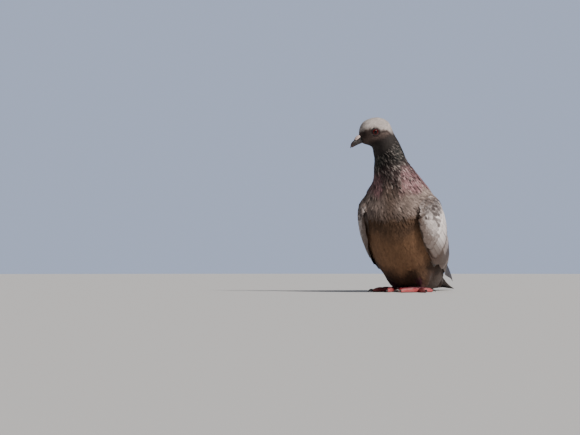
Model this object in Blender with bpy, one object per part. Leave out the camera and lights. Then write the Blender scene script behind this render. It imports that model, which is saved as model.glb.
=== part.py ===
"""A feral pigeon standing upright, life size, as a still museum model.

The bird faces -Y with its left side towards +X, and its head is turned to its right.
Its sizes are in millimetres here and become metres as the points are made.
The origin is under the middle of the bird's bounding box, on the floor.
"""

import math

import bmesh
import bpy
from mathutils import Matrix, Vector
from mathutils.bvhtree import BVHTree

MM = 0.001
LEFT, RIGHT = 1, -1
SIDE_NAMES = {LEFT: "left", RIGHT: "right"}

# Driving sizes, in mm and degrees.
CUT = 0.3                 # gap where one part meets the next
HEAD_TURN = -48           # the head's turn about the neck, towards the bird's right
HEAD_DROP = 20            # how far the bill points below the level of a resting head
NECK_AXIS_Y = -8          # the upright axis that the head turns about
EYE_PLACE = (-39, 184)    # y and z of the eyes before the head turns
HEAD_LEAN = -0.5          # the head's shift towards the bird's right
EYE_RADIUS = 6.0
EYE_OFFSET = 7.8          # from the head's middle to an eyeball's centre
WIDEST_BELOW_MIDDLE = 0.08
TAIL_LENGTH = 76
TAIL_FEATHERS_SHOWN = 7
TOE_LENGTHS = {"hind": 15, "inner": 21, "middle": 30, "outer": 24}
TOE_ANGLES = {"hind": 174, "inner": -32, "middle": 2, "outer": 54}
CLAW_LENGTH = 6.5
FOOT_PLACES = {LEFT: (21, 13), RIGHT: (-14.5, 32)}
FOOT_TURNS = {LEFT: 24, RIGHT: -4}
TRUNK_END, NECK_END = 8, 11.7     # places in BODY where the trunk and the neck are cut

# The body from the tail's root to the bill's root. Each row is a slice: under line (y, z),
# upper line (y, z), half width, its share of the head's turn, and its shift in x.
TRUNK = [
    (118, 6, 112, 40, 15, 0, 0),
    (97, 4, 98, 57, 27, 0, 0),
    (69, 4, 84, 77, 35, 0, 0),
    (40, 6, 71, 95, 39.5, 0, 0),
    (12, 16, 60, 109, 42.5, 0, 0),
    (-10, 36, 51, 117, 44, 0, 0),
    (-25, 61, 44, 122, 43.5, 0, -0.5),
    (-32, 86, 38, 127, 41, 0, -1.5),
    (-30, 108, 31, 133, 35, 0, -2.5),
]
NECK = [
    (-27, 126, 21, 140, 26.5, 0.12, -3),
    (-28, 142, 9, 152, 21, 0.35, -5.5),
    (-30, 153, 3.5, 162, 18, 0.65, -4.5),
    (-34, 161, -3, 172.5, 16.5, 0.9, -2.5),
]
# The head's slices, about the eye and level, from the nape to the bill's root.
HEAD = [
    (-3, -17.5, 25, -9, 15),
    (-5, -15, 23.5, 6, 14.2),
    (-8.5, -12.5, 12.5, 15, 13),
    (-11.5, -10.6, -3, 16, 11.4),
    (-13.8, -9.2, -11, 11, 8.6),
    (-15.3, -7.6, -15, 3.2, 4.8),
]
# The folded wing from bend to tip: lower edge (x, y, z), upper edge (x, y, z), bulge.
WING = [
    (27, -23, 84, 29, -21, 98, 0),
    (28.5, -16, 68, 33, -9, 108, 3),
    (29, -4, 50, 30, 20, 110, 6),
    (30, 17, 33, 25, 48, 106, 8),
    (30, 44, 19, 18, 79, 93, 8),
    (29, 75, 10, 10, 105, 75, 7),
    (27, 109, 8, 11, 130, 52, 8),
    (25, 143, 10, 14, 155, 31, 4),
    (19, 176, 9, 16, 179, 14, 0.5),
]
COVERTS_END = 0.44          # share of the wing's length that the coverts reach
PRIMARY_STRIP = 0.28        # share of the wing's depth where primaries show below secondaries
SECONDARIES_END = (0.62, 0.78)
PLUMAGE_FINISH = {
    "head": (0.42, 0.38, 0.36),
    "neck": (0.07, 0.065, 0.07),
    "trunk": (0.16, 0.11, 0.08),
    "coverts": (0.5, 0.46, 0.45),
    "flight": (0.12, 0.1, 0.1),
}


def clear_scene():
    for thing in list(bpy.data.objects):
        bpy.data.objects.remove(thing)


def spline(rows, share):
    """The row at share (0 to 1) on a smooth curve through equally spaced rows."""
    last = len(rows) - 1
    place = min(max(share, 0.0), 1.0) * last
    i = min(int(place), last - 1)
    f = place - i
    start, end = rows[i], rows[i + 1]
    before = rows[i - 1] if i else [2 * p - q for p, q in zip(start, end)]
    after = rows[i + 2] if i + 2 <= last else [2 * q - p for p, q in zip(start, end)]
    return [
        q + 0.5 * f * (r - p + f * (2 * p - 5 * q + 4 * r - s + f * (3 * (q - r) + s - p)))
        for p, q, r, s in zip(before, start, end, after)
    ]


def smooth_step(low, high, value):
    share = min(max((value - low) / (high - low), 0), 1)
    return share * share * (3 - 2 * share)


def finish(name, colour, roughness, metallic=0.0):
    material = bpy.data.materials.get(name) or bpy.data.materials.new(name)
    material.use_nodes = True
    shader = material.node_tree.nodes["Principled BSDF"]
    shader.inputs["Base Color"].default_value = (*colour, 1)
    shader.inputs["Roughness"].default_value = roughness
    shader.inputs["Metallic"].default_value = metallic
    return material


def add_object(name, bm, material, smooth_angle=50):
    """Turns bm, in mm, into a named object in metres."""
    bmesh.ops.recalc_face_normals(bm, faces=bm.faces)
    bmesh.ops.scale(bm, vec=(MM, MM, MM), verts=bm.verts)
    mesh = bpy.data.meshes.new(name)
    bm.to_mesh(mesh)
    bm.free()
    mesh.shade_smooth()
    mesh.set_sharp_from_angle(angle=math.radians(smooth_angle))
    mesh.materials.append(material)
    thing = bpy.data.objects.new(name, mesh)
    bpy.context.scene.collection.objects.link(thing)
    return thing


def loft(rings):
    """A closed mesh through rings that have equally many points, with flat ends."""
    bm = bmesh.new()
    loops = [[bm.verts.new(point) for point in ring] for ring in rings]
    count = len(rings[0])
    for one, other in zip(loops, loops[1:]):
        for i in range(count):
            j = (i + 1) % count
            bm.faces.new((one[i], one[j], other[j], other[i]))
    bm.faces.new(loops[0])
    bm.faces.new(loops[-1])
    return bm


def shell(outer, inner):
    """A closed mesh between two equal grids of points."""
    bm = bmesh.new()
    grids = [[[bm.verts.new(p) for p in row] for row in grid] for grid in (outer, inner)]
    rows, columns = len(outer), len(outer[0])
    for grid in grids:
        for i in range(rows - 1):
            for j in range(columns - 1):
                bm.faces.new((grid[i][j], grid[i + 1][j], grid[i + 1][j + 1], grid[i][j + 1]))
    rim = [(i, 0) for i in range(rows)] + [(rows - 1, j) for j in range(1, columns)]
    rim += [(i, columns - 1) for i in range(rows - 2, -1, -1)]
    rim += [(0, j) for j in range(columns - 2, 0, -1)]
    for (i, j), (k, m) in zip(rim, rim[1:] + rim[:1]):
        bm.faces.new((grids[0][i][j], grids[0][k][m], grids[1][k][m], grids[1][i][j]))
    return bm


def cut_by(thing, cutter):
    """Cuts thing by cutter, which stays in the file as a hidden guide."""
    cutter.hide_render = True
    cutter.display_type = "WIRE"
    modifier = thing.modifiers.new("cut", "BOOLEAN")
    modifier.operation = "DIFFERENCE"
    modifier.solver = "EXACT"
    modifier.object = cutter


# ---- The pose of the head -------------------------------------------------------------

def turned(point, share):
    """A point turned with the head about the neck's axis, by that share of the turn."""
    axis = Vector((0, NECK_AXIS_Y, 0))
    return Matrix.Rotation(math.radians(HEAD_TURN * share), 3, "Z") @ (point - axis) + axis


def head_to_level(y, z):
    """From the head's own y and z, about the eye, to the body's, before the head turns."""
    drop = math.radians(HEAD_DROP)
    return (
        EYE_PLACE[0] + y * math.cos(drop) - z * math.sin(drop),
        EYE_PLACE[1] + y * math.sin(drop) + z * math.cos(drop),
    )


def on_head(x, y, z):
    """The final place of a point given in the head's own axes."""
    level_y, level_z = head_to_level(y, z)
    return turned(Vector((x, level_y, level_z)), 1) + Vector((HEAD_LEAN, 0, 0))


def body_rows():
    head = [
        (*head_to_level(y1, z1), *head_to_level(y2, z2), width, 1, HEAD_LEAN)
        for y1, z1, y2, z2, width in HEAD
    ]
    return TRUNK + NECK + head


def body_ring(place, points, grow=0.0):
    """The body's slice at place, counted in rows of body_rows()."""
    rows = body_rows()
    y1, z1, y2, z2, width, turn, shift = spline(rows, place / (len(rows) - 1))
    under, upper = Vector((0, y1, z1)), Vector((0, y2, z2))
    middle, half = (under + upper) / 2, (upper - under) / 2
    half += half.normalized() * grow
    ring = []
    for i in range(points):
        angle = 2 * math.pi * i / points
        along = math.cos(angle) - WIDEST_BELOW_MIDDLE * math.sin(angle) ** 2
        across = Vector(((width + grow) * math.sin(angle), 0, 0))
        ring.append(turned(middle + half * along + across, turn) + Vector((shift, 0, 0)))
    return ring


def body_length(start, end, rings, points, grow=0.0):
    places = [start + (end - start) * i / (rings - 1) for i in range(rings)]
    return loft([body_ring(place, points, grow) for place in places])


# ---- Trunk, neck and head -------------------------------------------------------------

def make_trunk():
    """The trunk, and a slightly larger copy that cuts or carries what lies on it."""
    plumage = finish("trunk_feathers", PLUMAGE_FINISH["trunk"], 0.85)
    add_object("trunk", body_length(0, TRUNK_END, 22, 28), plumage)
    bm = body_length(0, TRUNK_END, 22, 28, CUT)
    tree = BVHTree.FromBMesh(bm)
    return add_object("trunk_cutter", bm, plumage), tree


def make_neck():
    plumage = finish("neck_feathers", PLUMAGE_FINISH["neck"], 0.6, 0.2)
    gap = 0.03
    add_object("neck", body_length(TRUNK_END + gap, NECK_END, 10, 28), plumage)


def make_head():
    plumage = finish("head_feathers", PLUMAGE_FINISH["head"], 0.85)
    gap = 0.04
    end = len(body_rows()) - 1
    head = add_object("head", body_length(NECK_END + gap, end, 15, 28), plumage)
    for side in (LEFT, RIGHT):
        name = f"socket_cutter_{SIDE_NAMES[side]}"
        cut_by(head, make_eye(name, side, EYE_RADIUS + CUT, plumage))


def make_eye(name, side, radius, material):
    bm = bmesh.new()
    bmesh.ops.create_uvsphere(bm, u_segments=16, v_segments=10, radius=radius)
    turn = Matrix.Rotation(math.radians(90), 4, "Y")
    pose = Matrix.Rotation(math.radians(HEAD_TURN), 4, "Z")
    move = Matrix.Translation(on_head(side * EYE_OFFSET, 0, 0))
    bmesh.ops.transform(bm, matrix=move @ pose @ turn, verts=bm.verts)
    return add_object(name, bm, material)


def make_eyes():
    glass = finish("eye_orange", (0.35, 0.05, 0.02), 0.08)
    for side in (LEFT, RIGHT):
        make_eye(f"eye_{SIDE_NAMES[side]}", side, EYE_RADIUS, glass)


# ---- Bill -----------------------------------------------------------------------------

# Each row is y, upper z, lower z and half width, in the head's axes.
BILL_UPPER = [
    (-15.6, 1.8, -4.1, 3.2),
    (-19.2, 0.4, -4.4, 2.6),
    (-22.7, -1.0, -4.9, 2.1),
    (-26.2, -2.2, -5.7, 2.1),
    (-28.9, -4.0, -6.9, 1.6),
    (-31.3, -8.0, -9.0, 0.4),
]
BILL_LOWER = [
    (-15.9, -4.5, -7.6, 2.9),
    (-19.4, -4.8, -7.6, 2.3),
    (-23.6, -5.5, -7.9, 1.8),
    (-27.2, -6.7, -8.4, 1.3),
    (-29.5, -7.8, -8.7, 0.5),
]
CERE_CENTRE = (-19.0, -1.15)
CERE_HALVES = (3.7, 5.2, 3.4)      # half width, half length, half height
CERE_SLOPE = 0.34
CERE_BACK = -15.9                  # where it meets the forehead


def bill_half(rows, rings, points, grow=0.0):
    shape = []
    for i in range(rings):
        y, top, bottom, width = spline(rows, i / (rings - 1))
        middle, half = (top + bottom) / 2, (top - bottom) / 2 + grow
        shape.append([
            on_head(
                (width + grow) * math.sin(2 * math.pi * k / points),
                y,
                middle + half * math.cos(2 * math.pi * k / points),
            )
            for k in range(points)
        ])
    return loft(shape)


def make_bill():
    horn = finish("bill_horn", (0.035, 0.03, 0.03), 0.35)
    skin = finish("cere_skin", (0.75, 0.62, 0.58), 0.6)
    add_object("bill_upper", bill_half(BILL_UPPER, 11, 12), horn)
    add_object("bill_lower", bill_half(BILL_LOWER, 8, 12), horn)
    bm = bmesh.new()
    bmesh.ops.create_uvsphere(bm, u_segments=14, v_segments=10, radius=1)
    for vertex in bm.verts:
        x, y, z = (c * h for c, h in zip(vertex.co, CERE_HALVES))
        y = min(y, CERE_BACK - CERE_CENTRE[0])
        vertex.co = on_head(x, CERE_CENTRE[0] + y, CERE_CENTRE[1] + CERE_SLOPE * y + max(z, 0))
    cere = add_object("cere", bm, skin)
    cut_by(cere, add_object("cere_cutter", bill_half(BILL_UPPER, 11, 12, CUT), horn))


# ---- Tail -----------------------------------------------------------------------------

TAIL_ROOT_Y = 118.6
TAIL_ROOT_SLOPE = -6 / 34     # the trunk's end leans forward as it rises
# Each row is the upper z, the thickness and the half width, from root to tip.
TAIL = [
    (37, 28, 14.5),
    (23, 15, 15.5),
    (14, 7.5, 16.5),
    (9, 3.4, 17),
    (5.4, 2.4, 17.5),
    (2.2, 1.6, 18),
]


def make_tail():
    """Twelve feathers folded to a narrow fan, of which seven edges show from above."""
    plumage = finish("tail_feathers", PLUMAGE_FINISH["flight"], 0.7)
    rows, columns, step, tip_round, tip_notch = 9, 22, 0.45, 7.0, 3.0
    arch = 0.32
    upper, lower = [], []
    for i in range(rows):
        share = i / (rows - 1)
        top, thick, width = spline(TAIL, share)
        up, down = [], []
        for j in range(columns):
            v = 2 * j / (columns - 1) - 1
            lobe = abs(math.sin(math.pi * TAIL_FEATHERS_SHOWN * (v + 1) / 2))
            back = tip_round * v * v + tip_notch * (1 - lobe) * share ** 4
            y = TAIL_ROOT_Y + (TAIL_LENGTH - back) * share
            feather = abs(round(v * (TAIL_FEATHERS_SHOWN - 1) / 2))
            drop = arch * (thick + 1.2) * v * v + step * feather * smooth_step(0.3, 0.7, share)
            side = math.sqrt(max(1 - v * v, 0))
            body = thick * (0.25 + 0.75 * side) if share < 0.6 else thick
            z_top = max(top - drop * (1 - 0.7 * share), 1.0)
            z_under = max(z_top - max(body, 0.9), 0)
            lean = TAIL_ROOT_SLOPE * (1 - share)
            up.append((width * v, y + lean * (z_top - 6), z_top))
            down.append((width * v, y + lean * (z_under - 6), z_under))
        upper.append(up)
        lower.append(down)
    add_object("tail", shell(upper, lower), plumage, 25)


# ---- Wings ----------------------------------------------------------------------------

def wing_thickness(along, across):
    full = 5.2 - 3.8 * smooth_step(0.3, 0.85, along)
    edge = 1.2
    return edge + max(full - edge, 0) * math.sqrt(max(4 * across * (1 - across), 0))


def trunk_axis():
    """Points along the middle of the trunk, as (y, z)."""
    points = []
    for i in range(61):
        y1, z1, y2, z2 = spline(TRUNK, i / 60)[:4]
        points.append(((y1 + y2) / 2, (z1 + z2) / 2))
    return points


def wing_point(tree, axis, side, along, across, layer):
    """A point of the wing's outer face (layer 0) or inner face (layer 1), clear of the trunk."""
    lx, ly, lz, ux, uy, uz, bulge = spline(WING, along)
    y, z = ly + (uy - ly) * across, lz + (uz - lz) * across
    x = lx + (ux - lx) * across + bulge * 4 * across * (1 - across)
    thickness = wing_thickness(along, across)
    far, blend = 90, 2.0
    gap = 1.2 + 0.9 * smooth_step(0.35, 0.6, along)
    ay, az = min(axis, key=lambda point: (point[0] - y) ** 2 + (point[1] - z) ** 2)
    start = Vector((0, ay, az))
    out = Vector((side * x, y, z)) - start
    reach = out.length
    out.normalize()
    hit = tree.ray_cast(start + out * far, -out)[0]
    if hit:
        least = (hit - start).length + gap + thickness
        reach = least + blend * math.log1p(math.exp(min((reach - least) / blend, 30)))
    return start + out * (reach - layer * thickness)


def wing_patch(tree, axis, side, grid, span):
    """The part of the wing inside span(i, j), which gives along and across from 0..1 shares."""
    rows, columns = grid
    layers = [
        [
            [
                wing_point(tree, axis, side, *span(i / rows, j / columns), layer)
                for j in range(columns + 1)
            ]
            for i in range(rows + 1)
        ]
        for layer in (0, 1)
    ]
    return shell(*layers)


def strip_top(along):
    """How far up the wing's depth the primaries show."""
    start, end = SECONDARIES_END
    return PRIMARY_STRIP + (1 - PRIMARY_STRIP) * min(max((along - start) / (end - start), 0), 1)


def coverts_span(i, j):
    return 0.012 + (COVERTS_END - 0.012) * i, j


def secondaries_span(i, j):
    """Secondaries and tertials: the upper ones reach furthest back, and their tips are round."""
    across = PRIMARY_STRIP + 0.02 + (0.98 - PRIMARY_STRIP) * j
    start, end = SECONDARIES_END
    reach = start + (end - start) * (across - PRIMARY_STRIP) / (1 - PRIMARY_STRIP)
    reach -= 0.007 + 0.012 * (1 - abs(math.sin(4 * math.pi * j)))
    front = COVERTS_END + 0.004
    return front + (reach - front) * i, across


def primaries_span(i, j):
    front = COVERTS_END + 0.004
    along = front + (1 - front) * i
    return along, strip_top(along) * j


def make_wings(tree):
    coverts = finish("covert_feathers", PLUMAGE_FINISH["coverts"], 0.8)
    flight = finish("flight_feathers", PLUMAGE_FINISH["flight"], 0.7)
    pieces = (
        ("coverts", (11, 8), coverts_span, coverts),
        ("secondaries", (7, 12), secondaries_span, flight),
        ("primaries", (15, 4), primaries_span, flight),
    )
    axis = trunk_axis()
    for side in (LEFT, RIGHT):
        for piece, grid, span, material in pieces:
            patch = wing_patch(tree, axis, side, grid, span)
            add_object(f"wing_{SIDE_NAMES[side]}_{piece}", patch, material)


# ---- Legs -----------------------------------------------------------------------------

THIGH_END_Z = 6.5
PAD_RADIUS = 4.5
TOE_SHAPE = [(1.2, 2.3), (2.1, 2.3), (2.8, 2.5), (2.35, 2.1), (2.6, 2.2), (2.1, 1.8), (1.2, 1.2)]


def tube(line, radii, points):
    """A closed tube along a line of points."""
    rings = []
    for i, (centre, radius) in enumerate(zip(line, radii)):
        ahead = line[min(i + 1, len(line) - 1)] - line[max(i - 1, 0)]
        turn = ahead.to_track_quat("Z", "Y")
        rings.append([
            centre + turn @ Vector((
                radius * math.cos(2 * math.pi * k / points),
                radius * math.sin(2 * math.pi * k / points),
                0,
            ))
            for k in range(points)
        ])
    return loft(rings)


def upright(rows, points):
    """A closed mesh through level rings: each row is the centre, half width and half length."""
    return loft([
        [
            Vector((
                x + half_x * math.cos(2 * math.pi * k / points),
                y + half_y * math.sin(2 * math.pi * k / points),
                z,
            ))
            for k in range(points)
        ]
        for x, y, z, half_x, half_y in rows
    ])


def make_thigh(side, trunk_cutter):
    """The feathered upper leg, cut off where it goes into the belly."""
    foot_x, foot_y = FOOT_PLACES[side]
    rows = [
        (side * 18, foot_y + 16, 36, 9, 16),
        (side * 18, foot_y + 12, 27, 10, 15),
        ((foot_x + side * 21) / 2, foot_y + 9, 18, 10, 13),
        (foot_x + side * 3, foot_y + 6, 11, 8.5, 10.5),
        (foot_x + side * 2, foot_y + 4, THIGH_END_Z, 5.5, 7),
    ]
    rows = [spline(rows, i / 7) for i in range(8)]
    plumage = finish("thigh_feathers", PLUMAGE_FINISH["trunk"], 0.85)
    thigh = add_object(f"thigh_{SIDE_NAMES[side]}", upright(rows, 16), plumage)
    cut_by(thigh, trunk_cutter)


def make_shank(side, skin):
    """The scaled shank and the pad under it, which carries the toes."""
    foot_x, foot_y = FOOT_PLACES[side]
    rows = [(THIGH_END_Z - CUT, 2.8, 1.8), (4.4, 3.4, 0.8), (2.6, PAD_RADIUS, 0), (0, 3.8, 0)]
    rings = [(foot_x, foot_y + back, z, radius, radius) for z, radius, back in rows]
    add_object(f"shank_{SIDE_NAMES[side]}", upright(rings, 12), skin)


def make_toe(side, toe, skin, horn):
    """A toe with its joints, flat under, and its curved claw."""
    foot_x, foot_y = FOOT_PLACES[side]
    heading = math.radians(FOOT_TURNS[side] * -1 + side * TOE_ANGLES[toe])
    ahead = Vector((math.sin(heading), -math.cos(heading), 0))
    across = Vector((-ahead.y, ahead.x, 0))
    start = Vector((foot_x, foot_y, 0)) + ahead * (PAD_RADIUS + CUT)
    size = 0.86 if toe == "hind" else 1.0
    rings, count, points = [], 9, 8
    for i in range(count):
        share = i / (count - 1)
        width, height = (size * value for value in spline(TOE_SHAPE, share))
        centre = start + ahead * TOE_LENGTHS[toe] * share
        rings.append([
            centre
            + across * width * math.cos(2 * math.pi * (k + 0.5) / points)
            + Vector((0, 0, max(0, height * (0.85 + math.sin(2 * math.pi * (k + 0.5) / points)))))
            for k in range(points)
        ])
    name = SIDE_NAMES[side]
    add_object(f"toe_{name}_{toe}", loft(rings), skin, 60)
    tip = start + ahead * (TOE_LENGTHS[toe] + CUT + 0.2)
    line, radii = [], []
    for i in range(6):
        share = i / 5
        bend = math.radians(12 + 62 * share)
        rise = 1.7 * size + 0.7 * math.sin(math.pi * share) - 1.1 * share
        line.append(tip + ahead * CLAW_LENGTH * math.sin(bend) + Vector((0, 0, rise)))
        radii.append(size * (1.05 - 0.75 * share))
    shift = line[0] - tip - Vector((0, 0, line[0].z))
    add_object(f"claw_{name}_{toe}", tube([p - shift for p in line], radii, 6), horn)


def make_legs(trunk_cutter):
    skin = finish("foot_scales", (0.5, 0.13, 0.13), 0.5)
    horn = finish("claw_horn", (0.04, 0.03, 0.03), 0.35)
    for side in (LEFT, RIGHT):
        make_thigh(side, trunk_cutter)
        make_shank(side, skin)
        for toe in TOE_LENGTHS:
            make_toe(side, toe, skin, horn)


# ---- The whole bird -------------------------------------------------------------------

def centre_on_origin():
    """Hangs everything on one empty and puts the middle of the bird's box over the origin."""
    bpy.context.view_layer.update()
    graph = bpy.context.evaluated_depsgraph_get()
    parts = list(bpy.context.scene.objects)
    points = []
    for part in parts:
        if not part.hide_render:
            evaluated = part.evaluated_get(graph)
            points += [evaluated.matrix_world @ Vector(corner) for corner in evaluated.bound_box]
    low = Vector([min(p[axis] for p in points) for axis in range(3)])
    high = Vector([max(p[axis] for p in points) for axis in range(3)])
    bird = bpy.data.objects.new("pigeon", None)
    bpy.context.scene.collection.objects.link(bird)
    for part in parts:
        part.parent = bird
    bird.location = (-(low.x + high.x) / 2, -(low.y + high.y) / 2, -low.z)


clear_scene()
cutter, trunk_tree = make_trunk()
make_neck()
make_head()
make_eyes()
make_bill()
make_tail()
make_wings(trunk_tree)
make_legs(cutter)
centre_on_origin()
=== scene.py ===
import math

import bmesh
import bpy
import numpy as np
from mathutils import Matrix, Vector
from mathutils.bvhtree import BVHTree


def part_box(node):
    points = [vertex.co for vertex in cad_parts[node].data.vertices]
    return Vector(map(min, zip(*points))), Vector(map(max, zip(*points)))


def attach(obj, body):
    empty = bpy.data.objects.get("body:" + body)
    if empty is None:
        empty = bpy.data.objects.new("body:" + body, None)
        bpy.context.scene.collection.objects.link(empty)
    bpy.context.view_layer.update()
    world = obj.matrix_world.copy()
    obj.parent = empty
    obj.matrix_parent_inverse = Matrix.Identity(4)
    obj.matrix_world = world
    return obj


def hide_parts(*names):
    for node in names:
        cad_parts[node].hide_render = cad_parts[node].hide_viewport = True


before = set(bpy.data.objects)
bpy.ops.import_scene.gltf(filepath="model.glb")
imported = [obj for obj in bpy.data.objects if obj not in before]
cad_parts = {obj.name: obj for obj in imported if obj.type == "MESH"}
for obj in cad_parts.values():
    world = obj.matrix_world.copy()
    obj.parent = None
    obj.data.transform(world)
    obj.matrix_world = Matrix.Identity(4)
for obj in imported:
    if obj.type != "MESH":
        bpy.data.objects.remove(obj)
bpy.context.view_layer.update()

# ---- Skin ----------------------------------------------------------------------------
# A pigeon's skin is one thin hide over the whole body and the folded arms, with bare scaled
# legs and toes and a bare rim round each eye. It lies inside the plumage by the coat's depth,
# so it is made from the solids of the flesh, closed over their cuts and drawn inwards.

MM = 0.001
SIDES = ("left", "right")
BODY_NODES = ["head", "neck", "trunk", "thigh_left", "thigh_right"]
ARM_NODES = ["wing_left_coverts", "wing_right_coverts"]
FORM_VOXEL, SKIN_VOXEL = 1.4 * MM, 1.5 * MM
# Depth of the coat by the distance down the body, in mm.
COAT_PLACES = (0, 8, 20, 35, 55, 80, 110, 150, 200)
COAT_DEPTH = (0.5, 0.8, 1.1, 1.5, 2.1, 2.8, 3.2, 3.4, 3.4)
# The line that the body is built round, from the bill's root to the tail's: a place behind the
# eyes in mm to the left, ahead and up, then shares of the trunk's box, back and up.
SKULL_BACK = (0, -10, -6)
TRUNK_SHARES = ((0.20, 0.92), (0.25, 0.76), (0.35, 0.58), (0.52, 0.42), (0.74, 0.28), (1.0, 0.14))
SPINE_REACH = 13 * MM       # how far the nearest stretch of the line is averaged
# The lower thighs narrow to the shanks: distances from a shank and heights, from full to none.
THIGH_NARROW, THIGH_NEAR, THIGH_LOW = 0.55, (9 * MM, 14 * MM), (6 * MM, 17 * MM)


def node_middle(name):
    """The middle of a CAD node's box."""
    low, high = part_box(name)
    return np.array((low + high) / 2)


def unit(vectors):
    return vectors / np.maximum(np.linalg.norm(vectors, axis=-1, keepdims=True), 1e-12)


def step(low, high, value):
    """A soft step: 0 up to low and 1 from high on."""
    share = np.clip((value - low) / (high - low), 0, 1)
    return share * share * (3 - 2 * share)


def read(items, key, width=1, kind=np.float32):
    """What a mesh keeps under a key for each item, in rows of the given width."""
    flat = np.empty(len(items) * width, kind)
    items.foreach_get(key, flat)
    return flat.reshape(-1, width) if width > 1 else flat


def points_of(mesh):
    return read(mesh.vertices, "co", 3).astype(float)


def normals_of(mesh):
    return read(mesh.vertex_normals, "vector", 3).astype(float)


def place_points(mesh, points):
    mesh.vertices.foreach_set("co", points.astype(np.float32).ravel())
    mesh.update()


def push_out(mesh, far):
    """Moves each corner along its normal."""
    place_points(mesh, points_of(mesh) + normals_of(mesh) * far)


def relax(mesh, rounds, share=0.5):
    """Evens a mesh out by drawing each corner towards the middle of its neighbours, by a share
    that may differ from corner to corner."""
    one, other = read(mesh.edges, "vertices", 2, np.int32).T
    points = points_of(mesh)
    count = np.bincount(np.concatenate([one, other]), minlength=len(points))[:, None]
    for _ in range(rounds):
        total = np.zeros_like(points)
        np.add.at(total, one, points[other])
        np.add.at(total, other, points[one])
        points += share * (total / count - points)
    place_points(mesh, points)


def shown(name, mesh):
    thing = bpy.data.objects.new(name, mesh)
    bpy.context.scene.collection.objects.link(thing)
    return thing


def mesh_from(build):
    """The mesh that a bmesh has built."""
    mesh = bpy.data.meshes.new("form")
    build.to_mesh(mesh)
    build.free()
    return mesh


def revoxel(mesh, voxel):
    """A new mesh of even squares round the closed bodies in mesh."""
    thing = shown("form", mesh)
    remesh = thing.modifiers.new("even", "REMESH")
    remesh.mode = "VOXEL"
    remesh.voxel_size = voxel
    graph = bpy.context.evaluated_depsgraph_get()
    made = bpy.data.meshes.new_from_object(thing.evaluated_get(graph))
    bpy.data.objects.remove(thing)
    return made


def closed_over(names, voxel, grow=1.1 * MM, rounds=6):
    """One smooth surface round several CAD solids, with the cuts between them closed."""
    whole = bmesh.new()
    for name in names:
        solid = bmesh.new()
        solid.from_mesh(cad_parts[name].data)
        bmesh.ops.remove_doubles(solid, verts=solid.verts, dist=1e-6)
        solid.normal_update()
        for vertex in solid.verts:
            vertex.co += vertex.normal * grow
        whole.from_mesh(mesh_from(solid))
    mesh = revoxel(mesh_from(whole), voxel)
    relax(mesh, rounds)
    push_out(mesh, -grow)
    relax(mesh, 2)
    return mesh


def tree_of(*meshes):
    """A tree to find places on the faces of one mesh or several."""
    points, faces = [], []
    for mesh in meshes:
        first = len(points)
        points += [tuple(v.co) for v in mesh.vertices]
        faces += [tuple(first + corner for corner in p.vertices) for p in mesh.polygons]
    return BVHTree.FromPolygons(points, faces)


def curve_through(corners, count):
    """Points on a smooth curve through the given corners."""
    corners = np.array(corners, float)
    ends = np.concatenate([[2 * corners[0] - corners[1]], corners, [2 * corners[-1] - corners[-2]]])
    place = np.linspace(0, len(corners) - 1, count)
    i = np.minimum(place.astype(int), len(corners) - 2)
    f = (place - i)[:, None]
    a, b, c, d = (ends[i + k] for k in range(4))
    return b + 0.5 * f * (c - a + f * (2 * a - 5 * b + 4 * c - d + f * (3 * (b - c) + d - a)))


EYES = {side: node_middle(f"eye_{side}") for side in SIDES}
EYE_RADIUS = (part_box("eye_left")[1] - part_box("eye_left")[0]).z / 2
HEAD_MIDDLE = (EYES["left"] + EYES["right"]) / 2
HEAD_LEFT = unit(EYES["left"] - EYES["right"])
bill_way = node_middle("cere") - HEAD_MIDDLE
HEAD_AHEAD = unit(bill_way - (bill_way @ HEAD_LEFT) * HEAD_LEFT)
HEAD_UP = np.cross(HEAD_LEFT, -HEAD_AHEAD)
HEAD_AXES = np.stack([HEAD_LEFT, HEAD_AHEAD, HEAD_UP])


def on_head(points):
    """Head coordinates in mm from between the eyes: to its left, ahead towards the bill, up."""
    return (points - HEAD_MIDDLE) @ HEAD_AXES.T / MM


trunk_low, trunk_high = (np.array(corner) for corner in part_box("trunk"))
MIDDLE_X = (trunk_low[0] + trunk_high[0]) / 2
skull_back = HEAD_MIDDLE + np.array(SKULL_BACK, float) * MM @ HEAD_AXES
trunk_line = [
    (MIDDLE_X, *(trunk_low[1:] + np.array(shares) * (trunk_high[1:] - trunk_low[1:])))
    for shares in TRUNK_SHARES
]
SPINE = curve_through([node_middle("cere"), HEAD_MIDDLE, skull_back, node_middle("neck"), *trunk_line], 90)
SPINE_WAY = unit(np.gradient(SPINE, axis=0))
SPINE_LENGTH = np.concatenate([[0], np.cumsum(np.linalg.norm(np.diff(SPINE, axis=0), axis=1))]) / MM


def along_body(points):
    """How far down the body each point is, in mm from the bill, and the line's way there."""
    far = ((points[:, None, :] - SPINE[None]) ** 2).sum(axis=2)
    weight = np.exp(-(far - far.min(axis=1, keepdims=True)) / SPINE_REACH ** 2)
    weight /= weight.sum(axis=1, keepdims=True)
    return weight @ SPINE_LENGTH, unit(weight @ SPINE_WAY)


def off_spine(points, down):
    """The way to each point from the body's line."""
    return points - SPINE[np.abs(down[:, None] - SPINE_LENGTH).argmin(axis=1)]


def from_shank(points, side):
    """How far each point is from the upright through the middle of a shank."""
    return np.linalg.norm((points - node_middle(f"shank_{side}"))[:, :2], axis=1)


def tapered(points):
    """Draws the lower thighs in towards the shanks that carry them."""
    for side in SIDES:
        near = 1 - step(*THIGH_NEAR, from_shank(points, side))
        share = THIGH_NARROW * near * (1 - step(*THIGH_LOW, points[:, 2]))
        points = points - (points - node_middle(f"shank_{side}")) * (1, 1, 0) * share[:, None]
    return points


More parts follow.
